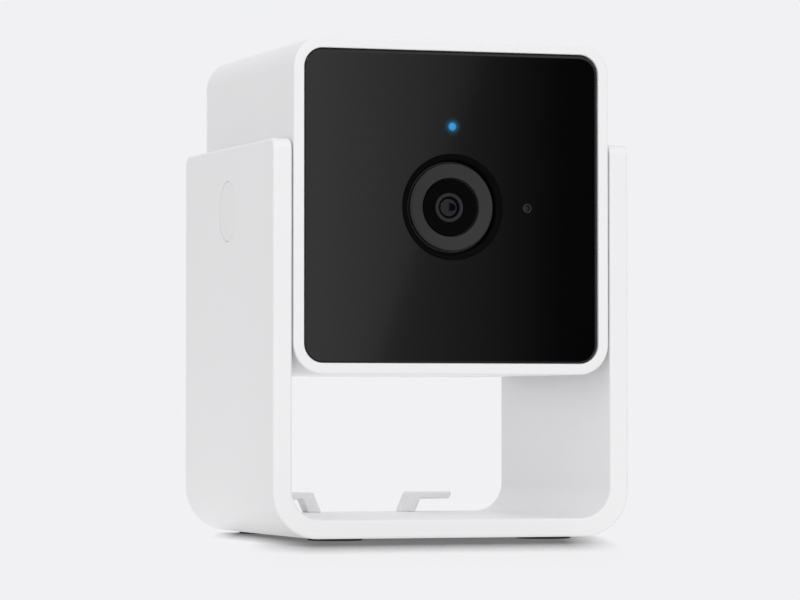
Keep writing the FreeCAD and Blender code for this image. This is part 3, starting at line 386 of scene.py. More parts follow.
finishes = {
    "whiteShell": mouldedPlastic("whiteShell", (0.87, 0.87, 0.875), 0.46),
    "hookGrey": mouldedPlastic("hookGrey", (0.86, 0.86, 0.87), 0.5),
    "buttonGrey": mouldedPlastic("buttonGrey", (0.42, 0.42, 0.43), 0.5),
    "blackFace": glossyFace("blackFace"),
    "blackDish": turnedRing("blackDish", (0.0012, 0.0012, 0.0014), 0.5, 0.5, 0.002, 0.04),
    "ringGrey": turnedRing("ringGrey", (0.024, 0.024, 0.025), 0.5, 0.16, 0.004, 0.3, (5.1, 6.65)),
    "coneBlack": turnedRing("coneBlack", (0.0014, 0.0014, 0.0017), 0.62, 0.3, 0.004, 0.03),
    "retainerGrey": turnedRing("retainerGrey", (0.020, 0.020, 0.021), 0.35, 0.12, 0.002, 0.25),
    "darkMoulding": mouldedPlastic("darkMoulding", (0.022, 0.022, 0.024), 0.55, 0.3, 0.01),
    "chipBlack": mouldedPlastic("chipBlack", (0.015, 0.015, 0.017), 0.6, 0.12, 0.008),
    "coatedGlass": coatedGlass("coatedGlass", (0.004, 0.003, 0.008), (0.001, 0.005, 0.004)),
    "blueLight": litPin("blueLight"),
    "blackRubber": softRubber("blackRubber", (0.022, 0.022, 0.023)),
    "greyPad": softRubber("greyPad", (0.30, 0.32, 0.36)),
    "nickel": platedMetal("nickel", (0.62, 0.61, 0.59), 0.28, (1.0, 0.06, 1.0)),
    "gold": platedMetal("gold", (0.90, 0.62, 0.24), 0.22, (1.0, 0.1, 1.0)),
    "brass": platedMetal("brass", (0.72, 0.52, 0.24), 0.3, (0.08, 1.0, 1.0)),
    "aluminium": platedMetal("aluminium", (0.74, 0.75, 0.77), 0.34, (1.0, 1.0, 0.05)),
    "boardGreen": circuitBoard("boardGreen"),
    "ribbonFilm": thinFilm("ribbonFilm", (0.36, 0.15, 0.03), 0.7),
    "coneFilm": pressedCone("coneFilm"),
    "washerNatural": mouldedPlastic("washerNatural", (0.62, 0.61, 0.57), 0.3, 0.5, 0.003),
    "connectorIvory": mouldedPlastic("connectorIvory", (0.66, 0.62, 0.50), 0.45, 0.3, 0.006),
    "ledBody": mouldedPlastic("ledBody", (0.72, 0.69, 0.58), 0.35, 0.4, 0.003),
}
print("finishes made:", len(finishes))

# shape tools


def addLoop(bm, points):
    return [bm.verts.new(point) for point in points]


def joinLoops(bm, first, second):
    count = len(first)
    for n in range(count):
        bm.faces.new((first[n], first[(n + 1) % count], second[(n + 1) % count], second[n]))


def skin(bm, loops, closed=False):
    rings = [addLoop(bm, loop) for loop in loops]
    for first, second in zip(rings, rings[1:]):
        joinLoops(bm, first, second)
    if closed:
        joinLoops(bm, rings[-1], rings[0])
    return rings


def prism(bm, loops):  # two loops joined, and closed at both ends
    for ring in skin(bm, loops):
        bm.faces.new(ring)
    bmesh.ops.recalc_face_normals(bm, faces=bm.faces)


def fillFlat(bm, rings, normal):
    edges = [bm.edges.get((ring[n - 1], ring[n])) for ring in rings for n in range(len(ring))]
    bmesh.ops.triangle_fill(bm, use_beauty=True, edges=edges, normal=normal)


def circle(radius, y, centre=(0.0, 0.0), steps=96):
    turns = [2 * math.pi * n / steps for n in range(steps)]
    return [(centre[0] + radius * math.cos(t), y, centre[1] + radius * math.sin(t)) for t in turns]


def softSquare(halfWidth, halfHeight, radius, y, centre=(0.0, 0.0), steps=14):
    points = []
    for quarter, (wayX, wayZ) in enumerate(((1, 1), (-1, 1), (-1, -1), (1, -1))):
        for n in range(steps + 1):
            turn = math.pi / 2 * (quarter + n / steps)
            x = wayX * (halfWidth - radius) + radius * math.cos(turn)
            z = wayZ * (halfHeight - radius) + radius * math.sin(turn)
            points.append((centre[0] + x, y, centre[1] + z))
    return points


def roll(radius, steps=5):  # a quarter round, from face to wall: how far in and how far down
    turns = [math.pi / 2 * n / steps for n in range(steps + 1)]
    return [(radius * (1 - math.sin(t)), radius * (1 - math.cos(t))) for t in turns]


def dome(radius, rim, rise, steps):  # a quarter ellipse from its rim to the axis
    turns = [math.pi / 2 * n / steps for n in range(steps)]
    return [(radius * math.cos(t), rim - rise * math.sin(t)) for t in turns] + [(0, rim - rise)]


def lathe(bm, profile, centre, steps=96):  # profile is (radius, y), both ends on the axis or closed
    onAxis = profile[0][0] == 0
    inner = profile[1:-1] if onAxis else profile
    rings = skin(bm, [circle(radius, y, centre, steps) for radius, y in inner], closed=not onAxis)
    if onAxis:
        for (radius, y), ring in ((profile[0], rings[0]), (profile[-1], rings[-1])):
            tip = bm.verts.new((centre[0], y, centre[1]))
            for n in range(steps):
                bm.faces.new((tip, ring[n - 1], ring[n]))


def meshOf(name, bm, scale=0.001):
    bm.transform(Matrix.Scale(scale, 4))
    mesh = bpy.data.meshes.new(name)
    bm.to_mesh(mesh)
    bm.free()
    return mesh


def linkNew(name, data):
    piece = bpy.data.objects.new(name, data)
    scene.collection.objects.link(piece)
    return piece


def plainMesh(piece):  # the mesh after the piece's modifiers, which are then removed
    graph = bpy.context.evaluated_depsgraph_get()
    made = bpy.data.meshes.new_from_object(piece.evaluated_get(graph))
    piece.modifiers.clear()
    piece.data = made


def roundEdges(piece, width, segments, limit=40):
    bevel = piece.modifiers.new("soften", "BEVEL")
    bevel.width = width / 1000
    bevel.segments = segments
    bevel.limit_method = "ANGLE"
    bevel.angle_limit = math.radians(limit)
    plainMesh(piece)


def cutAway(piece, bm):  # takes the shape in bm out of the piece
    cutter = linkNew("cutter", meshOf("cutter", bm))
    cut = piece.modifiers.new("cut", "BOOLEAN")
    cut.operation = "DIFFERENCE"
    cut.solver = "EXACT"
    cut.object = cutter
    plainMesh(piece)
    bpy.data.objects.remove(cutter)


def settle(piece, sharpAngle=32):  # smooth faces, sharp creases, and flat faces that stay flat
    bm = bmesh.new()
    bm.from_mesh(piece.data)
    for face in bm.faces:
        face.smooth = True
    for edge in bm.edges:
        edge.smooth = edge.calc_face_angle(0) < math.radians(sharpAngle)
    bm.to_mesh(piece.data)
    bm.free()
    weights = piece.modifiers.new("weights", "WEIGHTED_NORMAL")
    weights.keep_sharp = True
    plainMesh(piece)


def finishPiece(name, bm, finish, body, *stoodFor, sharpAngle=32):
    bmesh.ops.recalc_face_normals(bm, faces=bm.faces)
    piece = linkNew(name, meshOf(name, bm))
    piece.data.materials.append(finishes[finish])
    settle(piece, sharpAngle)
    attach(piece, body)
    if stoodFor:
        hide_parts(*stoodFor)


def softenedCopy(name, node, finish, body, width, segments=2, drop=0.0):
    # a copy of a CAD piece with its doubles merged and its sharp edges rounded a little
    bm = bmesh.new()
    bm.from_mesh(nodes[node].data)
    bm.transform(Matrix.Translation((0, 0, -drop / 1000)))
    bmesh.ops.remove_doubles(bm, verts=bm.verts, dist=2e-6)
    bmesh.ops.dissolve_limit(
        bm, angle_limit=math.radians(0.6), verts=bm.verts, edges=bm.edges, delimit={"NORMAL"}
    )
    piece = linkNew(name, meshOf(name, bm, 1.0))
    piece.data.materials.clear()
    piece.data.materials.append(finishes[finish])
    roundEdges(piece, width, segments)
    settle(piece)
    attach(piece, body)
    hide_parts(node)


# Geometry Nodes tools


def newTree(name, inputs):
    tree = bpy.data.node_groups.new(name, "GeometryNodeTree")
    tree.interface.new_socket("Geometry", in_out="INPUT", socket_type="NodeSocketGeometry")
    for label, kind in inputs.items():
        tree.interface.new_socket(label, in_out="INPUT", socket_type=f"NodeSocket{kind}")
    tree.interface.new_socket("Geometry", in_out="OUTPUT", socket_type="NodeSocketGeometry")
    graph = Graph(tree)
    entry = tree.nodes.new("NodeGroupInput")
    given = {socket.name: Wire(graph, socket) for socket in entry.outputs if socket.name}
    return tree, graph, given


def closeTree(graph, geometry, material):
    made = graph.add("GeometryNodeRealizeInstances", {}, {"Geometry": geometry})
    made = graph.add("GeometryNodeSetShadeSmooth", {}, {"Geometry": made, "Shade Smooth": True})
    made = graph.add("GeometryNodeSetMaterial", {}, {"Geometry": made, "Material": material})
    graph.add("NodeGroupOutput", {}, {"Geometry": made})


def runTree(name, mesh, tree, values, body, *stoodFor, sharpAngle=32):
    piece = linkNew(name, mesh)
    modifier = piece.modifiers.new("nodes", "NODES")
    modifier.node_group = tree
    for item in tree.interface.items_tree:
        if item.item_type == "SOCKET" and item.in_out == "INPUT" and item.name in values:
            modifier[item.identifier] = values[item.name]
    plainMesh(piece)
    settle(piece, sharpAngle)
    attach(piece, body)
    if stoodFor:
        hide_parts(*stoodFor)
    print("made", name, "with", len(piece.data.polygons), "faces")
    return piece


# stand: one U-shaped moulding

stand = {
    "outerBend": 7.6,
    "innerBend": 5.0,
    "wall": 3.25,
    "floor": 2.85,
    "sole": 0.2,            # how far the underside hangs down between the feet
    "armCorner": 1.8,
    "edge": 0.5,
    "bendSteps": 16,
    "seatRadius": 5.05,
    "seatDepth": 0.8,
    "pivotHeight": lensCentre[2],
    "capRadius": 5.0,
    "capEdge": 0.18,
}


def bend(centreX, centreZ, radius, fromTurn, toTurn):
    count = stand["bendSteps"]
    turns = [math.radians(fromTurn + (toTurn - fromTurn) * n / count) for n in range(count + 1)]
    return [(centreX + radius * math.cos(t), centreZ + radius * math.sin(t)) for t in turns]


def makeStand():
    low, high = corners("stand_frame")
    pivot = (0, stand["pivotHeight"])
    outer, inner = stand["outerBend"], stand["innerBend"]
    insideX, floorTop = high.x - stand["wall"], low.z + stand["floor"]
    low.z -= stand["sole"]
    outline = [(low.x, high.z)]
    outline += bend(low.x + outer, low.z + outer, outer, 180, 270)
    outline += bend(high.x - outer, low.z + outer, outer, 270, 360)
    outline += [(high.x, high.z), (insideX, high.z)]
    outline += bend(insideX - inner, floorTop + inner, inner, 0, -90)
    outline += bend(-insideX + inner, floorTop + inner, inner, 270, 180)
    outline += [(-insideX, high.z)]
    bm = bmesh.new()
    prism(bm, [[(x, y, z) for x, z in outline] for y in (low.y, high.y)])
    tops = [
        edge for edge in bm.edges
        if all(abs(vert.co.z - high.z) < 1e-4 for vert in edge.verts)
        and abs(edge.verts[0].co.y - edge.verts[1].co.y) < 1e-4
    ]
    bmesh.ops.bevel(
        bm, geom=tops, offset=stand["armCorner"], segments=8, profile=0.5, affect="EDGES"
    )
    piece = linkNew("standFrame", meshOf("standFrame", bm))
    piece.data.materials.append(finishes["whiteShell"])
    roundEdges(piece, stand["edge"], 5)
    for way in (-1, 1):  # the round seats of the pivot caps in the arms' outer faces
        bm = bmesh.new()
        prism(bm, [
            [(x, y, z) for y, x, z in circle(stand["seatRadius"], way * place, pivot)]
            for place in (high.x - stand["seatDepth"], high.x + 1.0)
        ])
        cutAway(piece, bm)
    settle(piece, 36)
    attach(piece, "stand")
    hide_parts("stand_frame")
    print("made standFrame with", len(piece.data.polygons), "faces")


def makePivotCaps():
    for side, way in (("Left", -1), ("Right", 1)):
        low, high = corners(f"pivot_cap_{side.lower()}")
        outside = high.x if way > 0 else -low.x
        inside = low.x if way > 0 else -high.x
        radius, edge = stand["capRadius"], reversed(roll(stand["capEdge"], 4))
        bm = bmesh.new()
        profile = [(0, inside), (radius, inside)]
        profile += [(radius - inward, outside - down) for inward, down in edge]
        lathe(bm, profile + [(0, outside)], (0, 0))
        for vert in bm.verts:  # from the lathe's axis along Y to the pivot's along X
            vert.co = Vector((way * vert.co.y, vert.co.x, vert.co.z + stand["pivotHeight"]))
        finishPiece(f"pivotCap{side}", bm, "whiteShell", "stand", f"pivot_cap_{side.lower()}")


makeStand()
makePivotCaps()
print("stand done")

# head: a section swept round a soft square

head = {
    "cornerRadius": 5.0,
    "wall": 1.8,
    "frontOuter": 0.4,
    "frontInner": 0.2,
    "rearOuter": 1.5,
    "rearInner": 0.15,
    "cornerSteps": 18,
}


def headSection():  # the wall's section: distance out from the path, and place along the head
    low, high = corners("head_shell")
    wall = head["wall"]
    points = []
    for inward, down in roll(head["frontOuter"]):
        points.append((-inward, low.y + down))
    for inward, down in reversed(roll(head["rearOuter"], 10)):
        points.append((-inward, high.y - down))
    for inward, down in roll(head["rearInner"], 3):
        points.append((-wall + inward, high.y - down))
    for inward, down in reversed(roll(head["frontInner"], 4)):
        points.append((-wall + inward, low.y + down))
    return points


def sweepTree():
    tree, graph, given = newTree("sweptSection", {
        "Width": "Float", "Height": "Float", "Corner Radius": "Float", "Corner Steps": "Int",
        "Middle Height": "Float", "Material": "Material",
    })
    section = graph.add("GeometryNodeMeshToCurve", {}, {"Mesh": given["Geometry"]})
    path = graph.add("GeometryNodeCurvePrimitiveQuadrilateral", {"mode": "RECTANGLE"}, {
        "Width": given["Width"], "Height": given["Height"],
    })
    path = graph.add("GeometryNodeFilletCurve", {"mode": "POLY"}, {
        "Curve": path, "Count": given["Corner Steps"], "Radius": given["Corner Radius"],
    })
    tube = graph.add("GeometryNodeCurveToMesh", {}, {"Curve": path, "Profile Curve": section})
    lift = graph.add("ShaderNodeCombineXYZ", {}, {"Z": given["Middle Height"]})
    tube = graph.add("GeometryNodeTransform", {}, {
        "Geometry": tube, "Translation": lift, "Rotation": (math.pi / 2, 0, 0),
    })
    closeTree(graph, tube, given["Material"])
    return tree


def makeHeadShell():
    low, high = corners("head_shell")
    bm = bmesh.new()
    verts = [bm.verts.new((out, along, 0)) for out, along in headSection()]
    for n in range(len(verts)):
        bm.edges.new((verts[n - 1], verts[n]))
    runTree("headShell", meshOf("headSection", bm), sweepTree(), {
        "Width": (high.x - low.x) / 1000,
        "Height": (high.z - low.z) / 1000,
        "Corner Radius": head["cornerRadius"] / 1000,
        "Corner Steps": head["cornerSteps"],
        "Middle Height": (low.z + high.z) / 2000,
        "Material": finishes["whiteShell"],
    }, "head", "head_shell", sharpAngle=50)


makeHeadShell()

# glossy front face with its dished well

face = {
    "edgeWidth": 0.65,
    "edgeDrop": 0.35,
    "lowerShare": 0.3,      # of the edge's width, at the bottom
    "cornerRadius": 3.08,
    "dishOuter": 8.65,
    "dishInner": 7.45,
    "dishDepth": 1.15,
    "lightHole": 0.68,
    "lightRim": 0.06,
    "lightRimDepth": 0.06,
    "micHole": 0.55,
    "micRim": 0.17,
    "micRimDepth": 0.04,
    "micAside": 12.9,
    "micDepth": 0.75,
    "rimSteps": ((0, 0), (0.08, 0.25), (0.6, 0.8), (1, 1.6)),   # shares of the rim and its depth
}


def makeFrontFace():
    low, high = corners("front_panel")
    middle = (low.z + high.z) / 2
    halfWidth, halfHeight = high.x, high.z - middle
    bm = bmesh.new()
    outer = []
    for inward, down in roll(1.0, 7):
        inset = inward * face["edgeWidth"]
        lower = inset * face["lowerShare"]
        outer.append(softSquare(
            halfWidth - inset, halfHeight - (inset + lower) / 2, face["cornerRadius"] - inset,
            low.y + down * face["edgeDrop"], (0, middle - (inset - lower) / 2),
        ))
    outer.append(softSquare(halfWidth, halfHeight, face["cornerRadius"], high.y, (0, middle)))
    outerRings = skin(bm, outer)
    front, back = [outerRings[0]], [outerRings[-1]]
    dishEdge = skin(bm, [circle(face["dishOuter"] + 0.02, y, (0, middle)) for y in (low.y, high.y)])
    front.append(dishEdge[0])
    back.append(dishEdge[1])
    x, _, z = statusLight["centre"]
    holes = (("light", (x, z)), ("mic", (face["micAside"], middle)))
    for name, place in holes:
        radius, rim, depth = face[f"{name}Hole"], face[f"{name}Rim"], face[f"{name}RimDepth"]
        walls = [
            circle(radius + rim * (1 - inward), low.y + depth * down, place, 48)
            for inward, down in face["rimSteps"]
        ]
        rings = skin(bm, walls + [circle(radius, high.y, place, 48)])
        front.append(rings[0])
        back.append(rings[-1])
    fillFlat(bm, front, (0, -1, 0))
    fillFlat(bm, back, (0, 1, 0))
    finishPiece("frontFace", bm, "blackFace", "head", "front_panel")

    # the dish is a softer black than the face and rolls down into the well
    outer, inner, depth = face["dishOuter"], face["dishInner"], face["dishDepth"]
    bm = bmesh.new()
    profile = [(outer, high.y)]
    for n in range(13):
        turn = math.pi / 2 * n / 12
        profile.append((
            outer - (outer - inner) * math.sin(turn), low.y + depth * (1 - math.cos(turn))
        ))
    profile.append((inner, high.y))
    lathe(bm, profile, (0, middle), 128)
    finishPiece("lensDish", bm, "blackDish", "head", sharpAngle=45)

    # what shows at the bottom of the microphone hole
    y, radius = low.y + face["micDepth"], face["micHole"] - 0.01
    bm = bmesh.new()
    profile = [(0, y + 0.25), (radius, y + 0.25), (radius, y), (0, y - 0.05)]
    lathe(bm, profile, (face["micAside"], middle), 32)
    finishPiece("microphoneMesh", bm, "darkMoulding", "head")


makeFrontFace()
print("front face done")

# lens

lens = {
    "ringOuter": 7.1,
    "ringInner": 4.8,
    "ringRoll": 0.16,
    "ringSlope": 0.36,      # how much deeper its flat is at the inside
    "ringLip": 0.22,
    "barrelOuter": 4.6,
    "barrelStep": 2.8,
    "barrelRear": 3.9,
    "coneWide": 4.45,
    "coneNarrow": 2.46,
    "coneSteps": 7,
    "coneRear": 3.4,
    "retainerOuter": 2.4,
    "lipInner": 1.82,
    "lipEdge": 0.06,
    "glassRadius": 1.5,
    "glassFlange": 1.1,
}


def lensAxis():
    low, high = corners("lens_bezel")
    return 0, (low.z + high.z) / 2


def makeLensRing():
    low, high = corners("lens_bezel")
    outer, inner, slope, lip = (lens[f"ring{name}"] for name in ("Outer", "Inner", "Slope", "Lip"))
    bm = bmesh.new()
    edge = reversed(roll(lens["ringRoll"], 6))
    profile = [(inner, high.y), (outer, high.y)]
    profile += [(outer - inward, low.y + down) for inward, down in edge]
    profile += [
        (inner + lip, low.y + slope), (inner + 0.06, low.y + slope + 0.06),
        (inner, low.y + slope + lip),
    ]
    lathe(bm, profile, lensAxis(), 144)
    finishPiece("lensRing", bm, "ringGrey", "head", "lens_bezel", sharpAngle=40)


def makeLens():
    centre = lensAxis()
    barrelLow, barrelHigh = corners("lens_barrel")
    retainerLow, retainerHigh = corners("lens_retainer")
    start, end, rear = barrelLow.y, retainerLow.y, barrelHigh.y
    seat = retainerHigh.y

    # black cone with stepped baffles down to the retaining ring
    outer, wide, narrow = lens["barrelOuter"], lens["coneWide"], lens["coneNarrow"]
    bm = bmesh.new()
    profile = [(lens["barrelRear"], rear), (outer, start + lens["barrelStep"]), (outer, start)]
    steps = lens["coneSteps"]
    for n in range(steps):
        radius = wide + (narrow - wide) * n / steps
        following = wide + (narrow - wide) * (n + 1) / steps
        depth = start + (end - start) * n / steps
        profile += [(radius, depth), (following + 0.04, depth + (end - start) / steps * 0.35)]
    profile += [
        (narrow, end), (narrow, end + 1.2), (lens["coneRear"], end + 1.3), (lens["coneRear"], rear),
    ]
    lathe(bm, profile, centre, 112)
    finishPiece("lensCone", bm, "coneBlack", "head", "lens_barrel", sharpAngle=25)

    # the retaining ring is a thin grey lip; the stop inside it is black
    outer, lip, edge = lens["retainerOuter"], lens["lipInner"], lens["lipEdge"]
    bm = bmesh.new()
    profile = [
        (outer, seat), (outer, end + edge), (outer - edge, end), (lip + edge, end),
        (lip, end + edge), (lip, seat),
    ]
    lathe(bm, profile, centre, 96)
    finishPiece("lensRetainer", bm, "retainerGrey", "head", "lens_retainer", sharpAngle=40)

    opening, lip = lens["glassRadius"], lip - 0.01
    bm = bmesh.new()
    profile = [
        (lip, seat), (lip, end + 0.16), (opening + 0.12, end + 0.22), (opening, end + 0.30),
        (opening, seat),
    ]
    lathe(bm, profile, centre, 96)
    finishPiece("lensStop", bm, "coneBlack", "head", sharpAngle=40)

    low, high = corners("front_lens")
    bm = bmesh.new()
    profile = [(0, high.y), (outer, high.y), (outer, seat)]
    profile += dome(opening, seat, high.y - lens["glassFlange"] - low.y, 12)
    lathe(bm, profile, centre, 72)
    finishPiece("frontGlass", bm, "coatedGlass", "head", "front_lens", sharpAngle=50)


def makeStatusLight():
    low, high = corners("status_light_pipe")
    x, _, z = statusLight["centre"]
    radius, flange = statusLight["radius"], statusLight["flangeRadius"]
    shoulder = high.y - statusLight["flangeHeight"]
    bm = bmesh.new()
    profile = [(0, high.y), (flange, high.y), (flange, shoulder), (radius, shoulder)]
    profile += dome(radius, low.y + 0.1, 0.08, 6)
    lathe(bm, profile, (x, z), 48)
    finishPiece("statusPin", bm, "blueLight", "head", "status_light_pipe", sharpAngle=50)


makeLensRing()
makeLens()
makeStatusLight()
print("lens and light done")

# cable hooks

hook = {"edge": 0.3, "segments": 4, "drop": 0.4}    # it stands on the thinner floor
for hookSide in ("Left", "Right"):
    softenedCopy(
        f"cableHook{hookSide}", f"cable_hook_{hookSide.lower()}", "hookGrey", "stand",
        hook["edge"], hook["segments"], drop=hook["drop"],
    )
print("hooks done")

# rear: cover, socket, button and screws

softenedCopy("rearCover", "rear_cover", "whiteShell", "head", 0.1)
softenedCopy("usbSocket", "usb_socket", "nickel", "head", 0.06)
softenedCopy("usbTongue", "usb_tongue", "chipBlack", "head", 0.08)

pins = {"count": 12, "pitch": 0.5, "width": 0.26, "length": 3.2, "thickness": 0.03}


def pinTree():  # a row of flat contacts on each side of the tongue
    tree, graph, given = newTree("contactRows", {
        "Count": "Int", "Pitch": "Float", "Width": "Float", "Length": "Float", "Thickness": "Float",
        "Half Tongue": "Float", "Mouth": "Float", "Height": "Float", "Material": "Material",
    })
    size = graph.add("ShaderNodeCombineXYZ", {}, {
        "X": given["Width"], "Y": given["Length"], "Z": given["Thickness"],
    })
    pin = graph.add("GeometryNodeMeshCube", {}, {"Size": size})
    rows = []
    for way in (-1, 1):
        start = graph.add("ShaderNodeCombineXYZ", {}, {
            "X": (given["Count"] - 1) * given["Pitch"] * -0.5,
            "Y": given["Mouth"] - given["Length"] * 0.5,
            "Z": given["Height"] + way * given["Half Tongue"],
        })
        step = graph.add("ShaderNodeCombineXYZ", {}, {"X": given["Pitch"]})
        line = graph.add("GeometryNodeMeshLine", {"mode": "OFFSET"}, {
            "Count": given["Count"], "Start Location": start, "Offset": step,
        })
        rows.append(graph.add("GeometryNodeInstanceOnPoints", {}, {
            "Points": line, "Instance": pin,
        }))
    both = graph.tree.nodes.new("GeometryNodeJoinGeometry")
    for row in rows:
        graph.tree.links.new(row.socket, both.inputs[0])
    closeTree(graph, Wire(graph, both.outputs[0]), given["Material"])
    return tree


def makePins():
    low, high = corners("usb_tongue")
    sizes = {name.title(): pins[name] / 1000 for name in ("pitch", "width", "length", "thickness")}
    runTree("usbContacts", bpy.data.meshes.new("usbContacts"), pinTree(), {
        **sizes,
        "Count": pins["count"],
        "Half Tongue": (high.z - low.z) / 2000,
        "Mouth": (high.y - 0.35) / 1000,
        "Height": (high.z + low.z) / 2000,
        "Material": finishes["gold"],
    }, "head")


makePins()

screws = {
    "headRadius": 2.2,
    "headHeight": 1.5,
    "shank": 1.25,
    "crossWidth": 0.62,
    "crossSpan": 2.5,
    "crossDepth": 0.9,
    "crossTaper": 0.45,
}


def oneScrew(length):  # a pan head with a cross recess, on the origin and pointing along +Y
    bm = bmesh.new()
    radius, height, shank = screws["headRadius"], screws["headHeight"], screws["shank"]
    profile = [
        (0, -length), (shank * 0.6, -length), (shank, -length + 1.0), (shank, 0), (radius, 0),
        (radius, height * 0.45),
    ]
    for n in range(1, 8):
        turn = math.pi / 2 * n / 7
        profile.append((
            radius * math.cos(turn * 0.72) ** 0.9, height * (0.45 + 0.55 * math.sin(turn))
        ))
    profile.append((0, height))
    lathe(bm, profile, (0, 0), 48)
    bmesh.ops.recalc_face_normals(bm, faces=bm.faces)
    screw = linkNew("screwBlank", meshOf("screwBlank", bm))
    for turn in (0, 90):
        bm = bmesh.new()
        bmesh.ops.create_cube(bm, size=1)
        for vert in bm.verts:
            taper = 1.0 if vert.co.y > 0 else screws["crossTaper"]
            vert.co = Vector((
                vert.co.x * screws["crossSpan"] * taper,
                height + vert.co.y * 2 * screws["crossDepth"],
                vert.co.z * screws["crossWidth"] * (0.8 if taper < 1 else 1.0),
            ))
        bmesh.ops.rotate(bm, verts=bm.verts, matrix=Matrix.Rotation(math.radians(turn), 3, "Y"))
        cutAway(screw, bm)
    return screw


def placedTree(name):  # the same thing at each point, turned a little more each time
    tree, graph, given = newTree(name, {"Thing": "Object", "Turn": "Float", "Material": "Material"})
    thing = graph.add("GeometryNodeObjectInfo", {"transform_space": "ORIGINAL"}, {
        "Object": given["Thing"],
    }, out=4)
    index = graph.add("GeometryNodeInputIndex")
    turn = graph.add("ShaderNodeCombineXYZ", {}, {"Y": index * given["Turn"]})
    placed = graph.add("GeometryNodeInstanceOnPoints", {}, {
        "Points": given["Geometry"], "Instance": thing, "Rotation": turn,
    })
    closeTree(graph, placed, given["Material"])
    return tree


def pointsMesh(name, points):
    mesh = bpy.data.meshes.new(name)
    mesh.from_pydata([metres(point) for point in points], [], [])
    return mesh


def makeCaseScrews():
    low, high = corners("case_screws")
    radius = screws["headRadius"]
    seat = high.y - screws["headHeight"]
    screw = oneScrew(seat - low.y)
    places = [
        (x, seat, z)
        for x in (low.x + radius, high.x - radius) for z in (low.z + radius, high.z - radius)
    ]
    runTree("caseScrews", pointsMesh("caseScrews", places), placedTree("placedScrews"), {
        "Thing": screw, "Turn": 0.5, "Material": finishes["nickel"],
    }, "head", "case_screws", sharpAngle=35)
    bpy.data.objects.remove(screw)


makeCaseScrews()


button = {
    "radius": 1.5,
    "flangeRadius": 2.4,
    "flangeEnd": 21.5,
    "flangeHeight": 0.8,
    "edge": 0.25,
    "gap": 0.03,        # to the plunger, so that the two don't share a face
}


def makeResetButton():
    low, high = corners("reset_button")
    centre = ((low.x + high.x) / 2, (low.z + high.z) / 2)
    start, radius, flange = low.y + button["gap"], button["radius"], button["flangeRadius"]
    flangeEnd, edge = button["flangeEnd"], reversed(roll(button["edge"], 4))
    flangeStart = flangeEnd - button["flangeHeight"]
    bm = bmesh.new()
    profile = [
        (0, start), (radius, start), (radius, flangeStart), (flange, flangeStart),
        (flange, flangeEnd), (radius, flangeEnd),
    ]
    profile += [(radius - inward, high.y - down) for inward, down in edge]
    profile += [(0.9, high.y - 0.02), (0.5, high.y - 0.08), (0, high.y - 0.1)]  # a shallow dish
    lathe(bm, profile, centre, 56)
    finishPiece("resetButton", bm, "buttonGrey", "reset_button", "reset_button", sharpAngle=40)


makeResetButton()
print("rear done")

# feet

feet = {"radius": 4.5, "height": 0.6, "roll": 0.25, "tread": (3.3, 2.3, 1.3)}


def makeFeet():
    low, high = corners("rubber_feet")
    radius, height = feet["radius"], feet["height"]
    bm = bmesh.new()
    profile = [(0, height), (radius, height)]
    profile += [(radius - inward, down) for inward, down in reversed(roll(feet["roll"], 4))]
    for groove in feet["tread"]:
        profile += [
            (groove + 0.2, 0), (groove + 0.08, 0.1), (groove - 0.08, 0.1), (groove - 0.2, 0),
        ]
    profile.append((0, 0))
    lathe(bm, profile, (0, 0), 64)
    for vert in bm.verts:  # from the lathe's axis along Y to upright
        vert.co = Vector((vert.co.x, vert.co.z, vert.co.y))
    bmesh.ops.recalc_face_normals(bm, faces=bm.faces)
    foot = linkNew("footBlank", meshOf("footBlank", bm))
    places = [
        (x, y, 0)
        for x in (low.x + radius, high.x - radius) for y in (low.y + radius, high.y - radius)
    ]
    runTree("rubberFeet", pointsMesh("rubberFeet", places), placedTree("placedFeet"), {
        "Thing": foot, "Turn": 0.0, "Material": finishes["blackRubber"],
    }, "stand", "rubber_feet", sharpAngle=40)
    bpy.data.objects.remove(foot)


makeFeet()
print("feet done")

# finishes of the CAD pieces that stay as they are

keptFinishes = {
    "darkMoulding": ["front_carrier", "lens_holder", "speaker_frame"],
    "coatedGlass": ["middle_lens", "rear_lens", "infrared_filter"],
    "chipBlack": ["image_sensor", "processor_chip", "light_sensor", "reset_switch"],
    "ledBody": ["infrared_leds", "status_led"],
    "boardGreen": ["sensor_board", "led_board", "main_board", "wifi_antenna"],
    "nickel": ["microphone", "wifi_module", "sensor_board_screws", "pivot_screw_left",
               "pivot_screw_right", "speaker_magnet"],
    "brass": ["pivot_nut_left", "pivot_nut_right"],
    "greyPad": ["thermal_pad"],
    "aluminium": ["heat_spreader"],
    "coneFilm": ["speaker_cone"],
    "connectorIvory": ["ribbon_connectors", "switch_plunger"],
    "ribbonFilm": ["sensor_ribbon"],
    "blackRubber": ["microphone_boot", "speaker_gasket"],
    "washerNatural": ["friction_washer_left", "friction_washer_right"],
}
for finish, names in keptFinishes.items():
    for node in names:
        for slot in nodes[node].material_slots:
            slot.material = finishes[finish]
print("CAD pieces finished")

# studio

studio = {
    "backdrop": (linear(241), linear(241), linear(243)),
    "room": 0.515,          # the light that comes from all round
    "ahead": 1.7,           # how much brighter it is straight in front
    "behind": 2.0,
    "aboveAndBelow": 0.6,
    "stripPower": 0.45,
    "stripSize": (0.30, 0.80),
    "stripAway": 0.9,
    "edgePower": 1.7,       # of the strip that only the black face and the lens's rings show
    "insidePower": 0.0012,
    "bouncePower": 0.0028,
    "underPower": 0.0026,
    "glintPower": 0.3,
}


